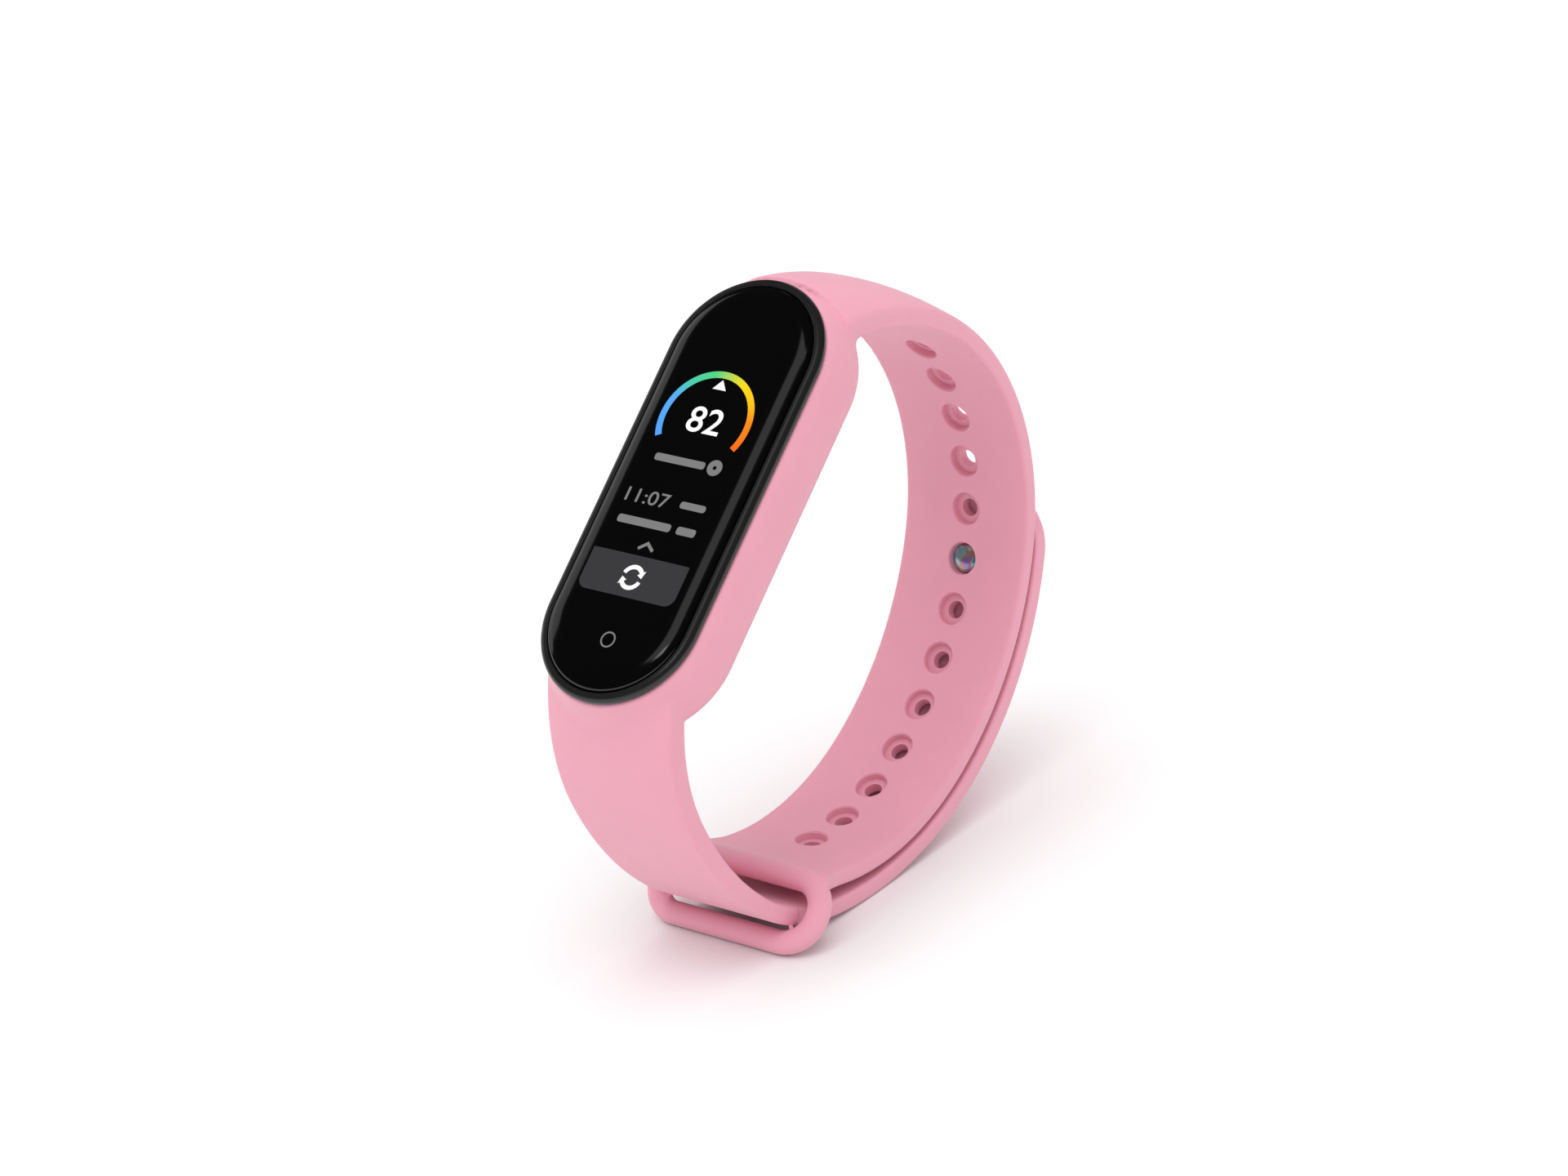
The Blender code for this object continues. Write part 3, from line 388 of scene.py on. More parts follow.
def loop_of_bar(name, route, radius):
    """Round bar along a closed route."""
    curve = bpy.data.curves.new(name, "CURVE")
    curve.dimensions = "3D"
    curve.bevel_depth = radius
    curve.bevel_resolution = 8
    spline = curve.splines.new("POLY")
    spline.points.add(len(route) - 1)
    for point, position in zip(spline.points, route):
        point.co = (*position, 1.0)
    spline.use_cyclic_u = True
    holder = bpy.data.objects.new(name, curve)
    mesh = bpy.data.meshes.new_from_object(holder)
    mesh.name = name
    bpy.data.objects.remove(holder)
    return mesh


def fuse(name, meshes):
    """One skin over several overlapping closed meshes."""
    bm = bmesh.new()
    for mesh in meshes:
        bm.from_mesh(mesh)
    joined = bpy.data.meshes.new(name)
    bm.to_mesh(joined)
    bm.free()
    holder = bpy.data.objects.new(name, joined)
    bpy.context.scene.collection.objects.link(holder)
    step = holder.modifiers.new("skin", "REMESH")
    step.mode = "VOXEL"
    step.voxel_size = VOXEL
    skin = bpy.data.meshes.new_from_object(
        holder.evaluated_get(bpy.context.evaluated_depsgraph_get()))
    skin.name = name
    bpy.data.objects.remove(holder)
    return skin


def positions(mesh):
    co = np.empty(len(mesh.vertices) * 3)
    mesh.vertices.foreach_get("co", co)
    return co.reshape(-1, 3)


def set_positions(mesh, co):
    mesh.vertices.foreach_set("co", co.astype(np.float32).ravel())
    mesh.update()


def normals(mesh):
    out = np.empty(len(mesh.vertices) * 3, np.float32)
    mesh.vertices.foreach_get("normal", out)
    return out.reshape(-1, 3).astype(float)


def neighbour_pull(mesh):
    """Function from positions to each vertex's offset from the mean of its neighbours."""
    ends = np.empty(len(mesh.edges) * 2, np.int32)
    mesh.edges.foreach_get("vertices", ends)
    first, second = ends.reshape(-1, 2).T
    count = len(mesh.vertices)
    degree = np.bincount(first, minlength=count) + np.bincount(second, minlength=count)
    degree = np.maximum(degree, 1)[:, None]

    def pull(co):
        total = np.stack([np.bincount(first, co[second, k], count)
                          + np.bincount(second, co[first, k], count) for k in range(3)], 1)
        return total / degree - co

    return pull


def fill_creases(mesh, weight, rounds):
    """Round inside corners into fillets, leaving outside edges as they are."""
    pull = neighbour_pull(mesh)
    co = positions(mesh)
    share = weight(co)[:, None]
    for _ in range(rounds):
        offset = pull(co)
        facing = normals(mesh)
        rise = np.maximum((offset * facing).sum(1, keepdims=True), 0.0)
        co = co + 0.8 * share * rise * facing
        set_positions(mesh, co)


def relax(mesh, rounds):
    """Even out a skin without shrinking it (Taubin's two-way smoothing)."""
    share = 0.5
    pull = neighbour_pull(mesh)
    co = positions(mesh)
    for _ in range(rounds):
        co = co + share * pull(co)
        co = co - (share + 0.03) * pull(co)
    set_positions(mesh, co)


def near(low, high, soft):
    """Weight that is one inside a box of the capsule frame and fades to nothing outside."""
    low = np.array(low)
    high = np.array(high)

    def weight(co):
        outside = np.linalg.norm(np.maximum(np.maximum(low - co, co - high), 0.0), axis=1)
        return np.clip(1 - outside / soft, 0.0, 1.0)

    return weight


def hole_cutters():
    """Stepped holes, wide on the wrist side; the stud's own hole is stretched by its head."""
    bm = bmesh.new()
    step = HALF_THICKNESS - COUNTERBORE_DEPTH
    beyond = THICKNESS
    for number in range(1, HOLE_COUNT + 1):
        narrow = COUNTERBORE_RADIUS - 0.1 * MM if number == STUD_HOLE else THROUGH_RADIUS
        profile = (
            (COUNTERBORE_RADIUS + HOLE_LIP, -beyond),
            (COUNTERBORE_RADIUS + HOLE_LIP, -HALF_THICKNESS),
            (COUNTERBORE_RADIUS, -HALF_THICKNESS + HOLE_LIP),
            (COUNTERBORE_RADIUS, -step),
            (narrow, -step),
            (narrow, HALF_THICKNESS - HOLE_LIP),
            (narrow + HOLE_LIP, HALF_THICKNESS),
            (narrow + HOLE_LIP, beyond),
        )
        place = arm_frame(UPPER_ARM, FIRST_HOLE + HOLE_PITCH * (number - 1))
        add_turned(bm, profile, place, 40)
    return finish_mesh(bm, "hole_cutters")


def strap_skin():
    """Cradle, hole arm, keeper ring and the lower arm as far as the ring, in one skin."""
    upper = even_stations(0.0, arm_length(UPPER_ARM))
    lower = even_stations(0.0, SPLIT)
    skin = fuse("silicone_strap", (
        stadium("cradle", cradle_profile()),
        strap_length("upper_arm", UPPER_ARM, upper, upper_half_width, lambda s: THICKNESS),
        strap_length("lower_arm", LOWER_ARM, lower, lambda s: HALF_WIDTH, lower_thickness),
        loop_of_bar("keeper_ring", ring_route(), RING_BAR_RADIUS),
    ))
    cradle = near((-12 * MM, -2 * MM, -24 * MM), (12 * MM, 9.5 * MM, 24 * MM), 2 * MM)
    ring = near((-12 * MM, 33 * MM, -27 * MM), (12 * MM, 39 * MM, -20 * MM), 2 * MM)
    fill_creases(skin, lambda co: np.maximum(cradle(co), ring(co)), 60)
    relax(skin, 10)
    skin = cut(skin, stadium("pocket", pocket_profile()))
    return cut(skin, hole_cutters())


def tail_half_width(distance, end):
    inset = max(TIP_RADIUS - (end - distance), 0.0)
    return HALF_WIDTH - TIP_RADIUS + math.sqrt(max(TIP_RADIUS ** 2 - inset ** 2, 0.0))


def tail_thickness(distance, end):
    past = max(distance - (end - HALF_THICKNESS), 0.0)
    thick = 2 * math.sqrt(max(HALF_THICKNESS ** 2 - past ** 2, 0.0))
    return min(thick, lower_thickness(distance))


def strap_end():
    """The rest of the lower arm, from the split to its rounded tip, with a seat cut for the stud.
    """
    end = arm_length(LOWER_ARM)
    run = even_stations(SPLIT, end - TIP_RADIUS)
    tip = [end - TIP_RADIUS * (1 - math.sin(math.pi / 2 * i / 28)) for i in range(1, 28)]
    mesh = strap_length("strap_end", LOWER_ARM, run + tip, lambda s: tail_half_width(s, end),
                        lambda s: tail_thickness(s, end))
    seat_floor = HALF_THICKNESS - STUD_SEAT_DEPTH
    brim = STUD_SEAT_RADIUS + 0.15 * MM
    seat = ((STUD_BORE_RADIUS, -THICKNESS), (STUD_BORE_RADIUS, seat_floor),
            (STUD_SEAT_RADIUS, seat_floor), (STUD_SEAT_RADIUS, HALF_THICKNESS - 0.1 * MM),
            (brim, HALF_THICKNESS + 0.02 * MM), (brim, THICKNESS))
    place = arm_frame(LOWER_ARM, STUD_DISTANCE)
    return cut(mesh, turned("stud_seat", seat, place))


def flex_ends():
    """Points either side of the flex line, in the row frame."""
    place = STANCE @ arm_frame(LOWER_ARM, HINGE_DISTANCE)
    along = Vector((0.0, 0.0, BLEND_REACH))
    return place @ -along, place @ along


def stud_head():
    """Domed head in the stretched hole, on a neck that runs out to the flange."""
    y, z, _ = walk(UPPER_ARM, FIRST_HOLE + HOLE_PITCH * (STUD_HOLE - 1))
    over_y, over_z, _ = walk(LOWER_ARM, STUD_DISTANCE)
    head = -math.dist((y, z), (over_y, over_z)) - HALF_THICKNESS + STUD_HEAD_SINK
    radius = STUD_HEAD_RADIUS
    quarter = [math.pi / 2 * i / 14 for i in range(1, 15)]
    dome = [(radius * math.sin(a), head + STUD_HEAD_RISE * (1 - math.cos(a))) for a in quarter]
    profile = dome + [
        (radius, head + 0.75 * MM),
        (radius - 0.08 * MM, head + 0.85 * MM),
        (STUD_NECK_RADIUS, head + 0.95 * MM),
        (STUD_NECK_RADIUS, HALF_THICKNESS - 0.5 * MM),
    ]
    return turned("stud_head", profile, arm_frame(LOWER_ARM, STUD_DISTANCE))


def stud_flange():
    """Button in the tail's outer face, with a softly dished middle."""
    top = HALF_THICKNESS - STUD_FLANGE_SINK
    radius = STUD_FLANGE_RADIUS
    profile = smooth_profile((
        (radius - 0.1 * MM, top - 0.5 * MM),
        (radius, top - 0.42 * MM),
        (radius, top - 0.2 * MM),
        (radius - 0.08 * MM, top - 0.05 * MM),
        (radius - 0.3 * MM, top),
        (radius - 0.65 * MM, top),
        (radius - 0.8 * MM, top - 0.05 * MM),
        (radius - 1.6 * MM, top - 0.08 * MM),
        (0.4 * MM, top - 0.09 * MM),
    ), 4)
    return turned("stud_flange", profile, arm_frame(LOWER_ARM, STUD_DISTANCE))


# ---------------------------------------------------------------- capsule shell
# The glass surface as (inset from its edge, depth).
DOME = (
    (0.0 * MM, 0.2 * MM),
    (0.08 * MM, 0.06 * MM),
    (0.2 * MM, -0.04 * MM),
    (0.4 * MM, -0.15 * MM),
    (0.8 * MM, -0.31 * MM),
    (1.5 * MM, -0.46 * MM),
    (2.4 * MM, -0.55 * MM),
    (3.6 * MM, -0.585 * MM),
    (5.6 * MM, -0.60 * MM),
)
DOME_CURVE = smooth_profile(DOME, 8)
DOME_INSETS, DOME_HEIGHTS = zip(*DOME_CURVE)


def glass_profile():
    top = [(GLASS_RADIUS - inset, height) for inset, height in DOME_CURVE]
    return [(GLASS_RADIUS - 0.1 * MM, GLASS_BACK), (GLASS_RADIUS - 0.02 * MM, 0.4 * MM),
            (GLASS_RADIUS, 0.33 * MM)] + top


def glass_height(x, z):
    """Depth of the glass surface at a point of the screen."""
    inset = GLASS_RADIUS - math.hypot(x, max(abs(z) - HALF_STRAIGHT, 0.0))
    return float(np.interp(inset, DOME_INSETS, DOME_HEIGHTS))


def bezel_profile():
    inner = GLASS_RADIUS + 0.12 * MM
    face = smooth_profile((
        (inner, 0.3 * MM),
        (inner + 0.04 * MM, 0.19 * MM),
        (inner + 0.14 * MM, 0.14 * MM),
        (inner + 0.36 * MM, 0.14 * MM),
        (BEZEL_RADIUS - 0.3 * MM, 0.25 * MM),
        (BEZEL_RADIUS - 0.1 * MM, 0.43 * MM),
        (BEZEL_RADIUS - 0.02 * MM, 0.6 * MM),
        (BEZEL_RADIUS, 0.76 * MM),
        (BEZEL_RADIUS, 0.9 * MM),
    ), 4)
    return (
        *face,
        (BEZEL_RADIUS - 0.04 * MM, 1.02 * MM),
        (BEZEL_RADIUS - 0.13 * MM, 1.09 * MM),
        (BEZEL_RADIUS - 0.3 * MM, 1.1 * MM),
        (BODY_RADIUS + 0.1 * MM, 1.1 * MM),
        (BODY_RADIUS, 1.2 * MM),
        (BODY_RADIUS, 2.3 * MM),
        (BODY_RADIUS - 0.1 * MM, 2.4 * MM),
        (CAVITY_RADIUS, 2.4 * MM),
        (CAVITY_RADIUS, 1.55 * MM),
        (CAVITY_RADIUS - 0.5 * MM, 1.55 * MM),
        (CAVITY_RADIUS - 0.5 * MM, 0.95 * MM),
        (inner, 0.95 * MM),
    )


def rear_shell():
    """Rear cup with a hollow inside and openings for the sensor window and charging pads."""
    front = [(BODY_RADIUS - 0.12 * MM, SHELL_FRONT - 0.12 * MM), (BODY_RADIUS, SHELL_FRONT)]
    skin = front + smooth_profile((
        (BODY_RADIUS, 4.5 * MM),
        (BODY_RADIUS, 6.5 * MM),
        (BODY_RADIUS - 0.65 * MM, 8.6 * MM),
        (BODY_RADIUS - 1.3 * MM, 9.8 * MM),
        (BODY_RADIUS - 2.2 * MM, 10.7 * MM),
        (BODY_RADIUS - 2.9 * MM, HOUSING_BACK - 0.02 * MM),
        (BODY_RADIUS - 3.6 * MM, HOUSING_BACK),
    ), 6)
    cavity = (
        (CAVITY_RADIUS, SHELL_FRONT - 1 * MM),
        (CAVITY_RADIUS, 6.3 * MM),
        (CAVITY_RADIUS - 0.75 * MM, 8.7 * MM),
        (CAVITY_RADIUS - 1.6 * MM, FLOOR_FRONT),
    )
    shell = cut(stadium("rear_shell", skin), stadium("cavity", cavity))
    bm = bmesh.new()
    bevel = 0.18 * MM
    clearance = 0.1 * MM
    bores = [(WINDOW_RADIUS + clearance, 0.0, 0.0, 96)]
    bores += [(CONTACT_RADIUS + clearance, x, z, 40) for x, z in CONTACT_PLACES]
    for radius, x, z, steps in bores:
        opening = ((radius, FLOOR_FRONT - 0.5 * MM), (radius, HOUSING_BACK - bevel),
                   (radius + bevel, HOUSING_BACK), (radius + bevel, HOUSING_BACK + 1 * MM))
        add_turned(bm, opening, Matrix.Translation((x, 0, z)), steps)
    return cut(shell, finish_mesh(bm, "openings"))


def sensor_lens():
    """Domed window over the heart-rate sensor, hollow behind its face."""
    inner = FLOOR_FRONT + 0.1 * MM
    bore = WINDOW_RADIUS - 0.7 * MM
    dome = smooth_profile((
        (WINDOW_RADIUS, HOUSING_BACK + 0.05 * MM),
        (WINDOW_RADIUS - 0.15 * MM, HOUSING_BACK + 0.3 * MM),
        (WINDOW_RADIUS - 0.4 * MM, HOUSING_BACK + 0.45 * MM),
        (WINDOW_RADIUS - 1.3 * MM, HOUSING_BACK + 0.73 * MM),
        (WINDOW_RADIUS - 2.3 * MM, HOUSING_BACK + 0.83 * MM),
        (WINDOW_RADIUS - 4.2 * MM, HOUSING_BACK + 0.85 * MM),
    ), 6)
    lens = turned("sensor_lens", [(bore, inner), (WINDOW_RADIUS, inner)] + dome, steps=96)
    hollow = turned("hollow", ((bore, inner - 1 * MM), (bore, HOUSING_BACK - 0.05 * MM)), steps=96)
    return cut(lens, hollow)


def gold_pad(x, z):
    front = FLOOR_FRONT - 0.4 * MM
    back = HOUSING_BACK + 0.1 * MM
    profile = ((CONTACT_RADIUS, front), (CONTACT_RADIUS, back - 0.2 * MM),
               (CONTACT_RADIUS - 0.05 * MM, back - 0.08 * MM), (CONTACT_RADIUS - 0.18 * MM, back),
               (CONTACT_RADIUS - 0.4 * MM, back + 0.01 * MM))
    return turned("gold_pad", profile, Matrix.Translation((x, 0, z)), 40)


# ---------------------------------------------------------------- screen picture
def arc_points(centre, radius, start, end, count):
    return [(centre[0] + radius * math.cos(math.radians(start + (end - start) * i / count)),
             centre[1] + radius * math.sin(math.radians(start + (end - start) * i / count)))
            for i in range(count + 1)]


def rounded_outline(width, height, centre, radii):
    """Corners of a rectangle with its own radius at each: top right, top left, and so on."""
    outline = []
    for quarter, (sx, sy) in enumerate(((1, 1), (-1, 1), (-1, -1), (1, -1))):
        radius = radii[quarter]
        middle = (centre[0] + sx * (width / 2 - radius), centre[1] + sy * (height / 2 - radius))
        outline += arc_points(middle, radius, 90 * quarter, 90 * quarter + 90, 10)
    return outline


def stroke_outline(route, width):
    """Outline of a constant-width line along a route, with mitred corners."""
    left, right = [], []
    for i, point in enumerate(route):
        before = Vector(route[max(i - 1, 0)])
        after = Vector(route[min(i + 1, len(route) - 1)])
        here = Vector(point)
        ahead = (after - here).normalized()
        behind = (here - before).normalized()
        along = (ahead + behind).normalized()
        side = Vector((-along.y, along.x))
        reach = width / 2 / max(abs(side.dot(Vector((-ahead.y, ahead.x)))) or 1.0, 0.5)
        left.append(tuple(here + side * reach))
        right.append(tuple(here - side * reach))
    return left + right[::-1]


def flat_shapes(outlines):
    """Flat mesh in the screen plane from closed outlines of (x, z) points in millimetres."""
    bm = bmesh.new()
    for outline in outlines:
        corners = [bm.verts.new((x * MM, 0.0, z * MM)) for x, z in outline]
        for corner, following in zip(corners, corners[1:] + corners[:1]):
            bm.edges.new((corner, following))
        own = set(corners)
        edges = [edge for edge in bm.edges if edge.verts[0] in own]
        bmesh.ops.triangle_fill(bm, use_beauty=True, edges=edges, normal=(0, -1, 0))
    return bm


def text_shapes(text, size, centre, bold):
    """Flat digits, fitted to a width and height round a centre given in millimetres."""
    curve = bpy.data.curves.new("digits", "FONT")
    curve.body = text
    curve.align_x = "CENTER"
    curve.align_y = "CENTER"
    curve.offset = bold
    curve.space_character = 1.0 + 3 * bold
    holder = bpy.data.objects.new("digits", curve)
    mesh = bpy.data.meshes.new_from_object(holder)
    bpy.data.objects.remove(holder)
    bm = bmesh.new()
    bm.from_mesh(mesh)
    xs = [corner.co.x for corner in bm.verts]
    ys = [corner.co.y for corner in bm.verts]
    wide = size[0] / (max(xs) - min(xs))
    tall = size[1] / (max(ys) - min(ys))
    middle = ((max(xs) + min(xs)) / 2, (max(ys) + min(ys)) / 2)
    for corner in bm.verts:
        x, y = corner.co.x, corner.co.y
        corner.co = ((centre[0] + (x - middle[0]) * wide) * MM, 0.0,
                     (centre[1] + (y - middle[1]) * tall) * MM)
    bmesh.ops.remove_doubles(bm, verts=bm.verts[:], dist=0.0005 * MM)
    return bm


def lay_on_glass(bm, name, lift=0.014 * MM, grid=0.6 * MM):
    """Turn a flat mesh into a thin film that follows the glass."""
    for axis in (0, 2):
        span = [corner.co[axis] for corner in bm.verts]
        first = math.ceil(min(span) / grid)
        for i in range(first, math.floor(max(span) / grid) + 1):
            at = [0.0, 0.0, 0.0]
            facing = [0.0, 0.0, 0.0]
            at[axis] = i * grid
            facing[axis] = 1.0
            bmesh.ops.bisect_plane(bm, geom=bm.verts[:] + bm.edges[:] + bm.faces[:],
                                   dist=0.0001 * MM, plane_co=at, plane_no=facing)
    bmesh.ops.dissolve_degenerate(bm, edges=bm.edges[:], dist=0.0002 * MM)
    for corner in bm.verts:
        corner.co.y = glass_height(corner.co.x, corner.co.z) + lift
    bmesh.ops.recalc_face_normals(bm, faces=bm.faces[:])
    top = bmesh.ops.extrude_face_region(bm, geom=bm.faces[:], use_keep_orig=True)
    for item in top["geom"]:
        if isinstance(item, bmesh.types.BMVert):
            item.co.y -= 2 * lift
    return finish_mesh(bm, name)


def ring_outlines(centre, outer, inner):
    """A ring as two half bands."""
    halves = []
    for start in (0, 180):
        halves.append(arc_points(centre, outer, start, start + 180, 32)
                      + arc_points(centre, inner, start, start + 180, 32)[::-1])
    return halves


def sync_outlines(centre, radius, width):
    """Two curved arrows chasing each other."""
    shapes = []
    for start in (28, 208):
        band = arc_points(centre, radius, start, start + 134, 24)
        shapes.append(stroke_outline(band, width))
        tip = math.radians(start - 26)
        root = math.radians(start + 6)
        shapes.append([
            (centre[0] + radius * math.cos(tip), centre[1] + radius * math.sin(tip)),
            (centre[0] + (radius + width * 1.1) * math.cos(root),
             centre[1] + (radius + width * 1.1) * math.sin(root)),
            (centre[0] + (radius - width * 1.1) * math.cos(root),
             centre[1] + (radius - width * 1.1) * math.sin(root)),
        ])
    return shapes


# ---------------------------------------------------------------- materials
class Look:
    """A Principled material with helpers for its node tree."""

    def __init__(self, name, colour, roughness, metallic=0.0):
        self.material = bpy.data.materials.new(name)
        self.material.use_nodes = True
        self.tree = self.material.node_tree
        self.shader = self.tree.nodes["Principled BSDF"]
        self.set("Base Color", (*colour, 1.0))
        self.set("Roughness", roughness)
        self.set("Metallic", metallic)
        self.colour = colour
        self.roughness = roughness
        self.bumps = None

    def set(self, socket, value):
        self.shader.inputs[socket].default_value = value

    def node(self, kind, **values):
        node = self.tree.nodes.new(kind)
        for key, value in values.items():
            if hasattr(node, key):
                setattr(node, key, value)
            else:
                node.inputs[key.replace("_", " ")].default_value = value
        return node

    def link(self, source, target):
        self.tree.links.new(source, target)

    def texture(self, kind, **values):
        """Grey value of a texture laid out in the object's own metres."""
        texture = self.node(kind, **values)
        self.link(self.node("ShaderNodeTexCoord").outputs["Object"], texture.inputs["Vector"])
        return texture.outputs["Fac"]

    def noise(self, scale, detail=4.0, roughness=0.5):
        return self.texture("ShaderNodeTexNoise", Scale=scale, Detail=detail, Roughness=roughness)

    def ramp(self, value, stops, socket):
        """Colour a socket by a value, through (position, colour) stops."""
        ramp = self.node("ShaderNodeValToRGB")
        elements = ramp.color_ramp.elements
        for element, (position, colour) in zip(elements, (stops[0], stops[-1])):
            element.position, element.color = position, (*colour, 1.0)
        for position, colour in stops[1:-1]:
            elements.new(position).color = (*colour, 1.0)
        self.link(value, ramp.inputs["Fac"])
        self.link(ramp.outputs["Color"], self.shader.inputs[socket])

    def spread(self, value, low, high):
        """A texture value remapped to a range."""
        remap = self.node("ShaderNodeMapRange", From_Min=0.25, From_Max=0.75,
                          To_Min=low, To_Max=high)
        self.link(value, remap.inputs["Value"])
        return remap.outputs["Result"]

    def vary_roughness(self, scale, amount):
        value = self.spread(self.noise(scale), self.roughness - amount, self.roughness + amount)
        self.link(value, self.shader.inputs["Roughness"])

    def vary_colour(self, scale, amount):
        """Mottle between a darker and a lighter tint."""
        mix = self.node("ShaderNodeMix", data_type="RGBA")
        factor, first, second = (mix.inputs[index] for index in (0, 6, 7))
        self.link(self.spread(self.noise(scale), 0.0, 1.0), factor)
        for socket, share in ((first, 1 - amount), (second, 1 + amount)):
            socket.default_value = (*(min(c * share, 1.0) for c in self.colour), 1.0)
        self.link(mix.outputs[2], self.shader.inputs["Base Color"])

    def bump(self, value, distance):
        """Add a layer of relief, of a height in metres."""
        node = self.node("ShaderNodeBump", Strength=1.0, Distance=distance)
        self.link(value, node.inputs["Height"])
        if self.bumps:
            self.link(self.bumps.outputs["Normal"], node.inputs["Normal"])
        self.bumps = node
        self.link(node.outputs["Normal"], self.shader.inputs["Normal"])


def silicone():
    look = Look("pink_silicone", (0.80, 0.355, 0.455), 0.52)
    look.set("Specular IOR Level", 0.35)
    look.set("Subsurface Weight", 0.12)
    look.set("Subsurface Radius", (1.0, 0.45, 0.4))
    look.set("Subsurface Scale", 0.0012)
    look.set("Sheen Weight", 0.12)
    look.set("Sheen Roughness", 0.5)
    look.vary_colour(160.0, 0.018)
    look.vary_roughness(900.0, 0.05)
    look.bump(look.noise(260.0, 3.0), 0.00001)
    look.bump(look.noise(7000.0, 4.0, 0.6), 0.000006)
    return look.material


def black_glass():
    look = Look("black_glass", (0.0015, 0.0015, 0.0018), 0.1)
    look.set("Specular IOR Level", 0.5)
    look.vary_roughness(140.0, 0.012)
    look.bump(look.noise(60.0, 2.0), 0.0000008)
    return look.material


def gloss_black():
    look = Look("gloss_black_rim", (0.012, 0.012, 0.013), 0.26)
    look.vary_roughness(1200.0, 0.03)
    look.bump(look.noise(1400.0, 2.0), 0.0000005)
    return look.material


def satin_black():
    look = Look("satin_black_shell", (0.014, 0.014, 0.015), 0.42)
    look.vary_colour(300.0, 0.12)
    look.vary_roughness(500.0, 0.06)
    look.bump(look.noise(5200.0, 5.0, 0.6), 0.000006)
    return look.material


def smoked_lens():
    look = Look("smoked_lens", (0.06, 0.065, 0.075), 0.05)
    look.set("Transmission Weight", 0.75)
    look.set("IOR", 1.49)
    look.vary_roughness(400.0, 0.015)
    look.bump(look.noise(220.0, 2.0), 0.000001)
    return look.material


def polished_metal():
    """Chrome with the faint interference colours of a thin hard coat."""
    look = Look("polished_metal", (0.72, 0.74, 0.78), 0.16, 0.6)
    wave = look.texture("ShaderNodeTexNoise", Scale=620.0, Detail=1.0, Distortion=0.6)
    stops = ((0.30, (0.10, 0.16, 0.42)), (0.42, (0.10, 0.50, 0.52)), (0.50, (0.42, 0.45, 0.50)),
             (0.58, (0.42, 0.30, 0.15)), (0.68, (0.34, 0.20, 0.50)))
    look.ramp(wave, stops, "Base Color")
    look.vary_roughness(900.0, 0.03)
    look.bump(look.noise(1500.0, 2.0), 0.000002)
    return look.material


def lit(name, colour, strength):
    """Part of the screen's picture: light behind the same gloss as the glass."""
    look = Look(name, tuple(c * 0.01 for c in colour), 0.08)
    look.set("Emission Color", (*colour, 1.0))
    look.set("Emission Strength", strength)
    cells = look.texture("ShaderNodeTexChecker", Scale=1.0 / (0.14 * MM))
    look.link(look.spread(cells, 0.07, 0.09), look.shader.inputs["Roughness"])
    return look


def gauge_light(centre):
    """Blue through green and yellow to orange, round the gauge."""
    look = lit("gauge_light", (1.0, 1.0, 1.0), 1.0)
    to_screen = look.node("ShaderNodeMapping", vector_type="TEXTURE")
    to_screen.inputs["Location"].default_value = STANCE.translation
    to_screen.inputs["Rotation"].default_value = STANCE.to_euler()
    look.link(look.node("ShaderNodeTexCoord").outputs["Object"], to_screen.inputs["Vector"])
    split = look.node("ShaderNodeSeparateXYZ")
    look.link(to_screen.outputs["Vector"], split.inputs["Vector"])
    shifted = []
    for axis, middle in (("X", centre[0]), ("Z", centre[1])):
        less = look.node("ShaderNodeMath", operation="SUBTRACT")
        look.link(split.outputs[axis], less.inputs[0])
        less.inputs[1].default_value = middle * MM
        shifted.append(less)
    angle = look.node("ShaderNodeMath", operation="ARCTAN2")
    look.link(shifted[0].outputs[0], angle.inputs[0])
    look.link(shifted[1].outputs[0], angle.inputs[1])
    half_sweep = math.radians(118)
    share = look.node("ShaderNodeMapRange", From_Min=-half_sweep, From_Max=half_sweep)
    look.link(angle.outputs[0], share.inputs["Value"])
    stops = ((0.0, (0.08, 0.36, 0.95)), (0.22, (0.09, 0.42, 0.92)), (0.31, (0.06, 0.62, 0.42)),
             (0.45, (0.08, 0.66, 0.22)), (0.55, (0.55, 0.70, 0.05)), (0.63, (1.0, 0.72, 0.0)),
             (0.75, (1.0, 0.55, 0.0)), (0.84, (1.0, 0.26, 0.0)), (1.0, (1.0, 0.14, 0.0)))
    look.ramp(share.outputs["Result"], stops, "Emission Color")
    return look.material


def inner_look(name, colour, roughness, metallic=0.0, grain=2500.0, relief=0.000004):
    look = Look(name, colour, roughness, metallic)
    look.vary_colour(700.0, 0.1)
    look.vary_roughness(900.0, min(0.06, roughness * 0.4))
    look.bump(look.noise(grain, 4.0), relief)
    return look.material


# ---------------------------------------------------------------- build
def build_strap():
    pink = silicone()
    add_piece("silicone_strap", strap_skin(), pink, "strap", ["strap_body"])
    end = add_piece("strap_end", strap_end(), pink)
    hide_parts("strap_tail")
    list(flex_ends())
    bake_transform(end)
    add_piece("stud_head", stud_head(), polished_metal(), "clasp_tail", ["clasp_stud"])
    steel = inner_look("stud_steel", (0.66, 0.66, 0.68), 0.3, 0.85, 1800.0, 0.000002)
    add_piece("stud_flange", stud_flange(), steel, "clasp_tail")


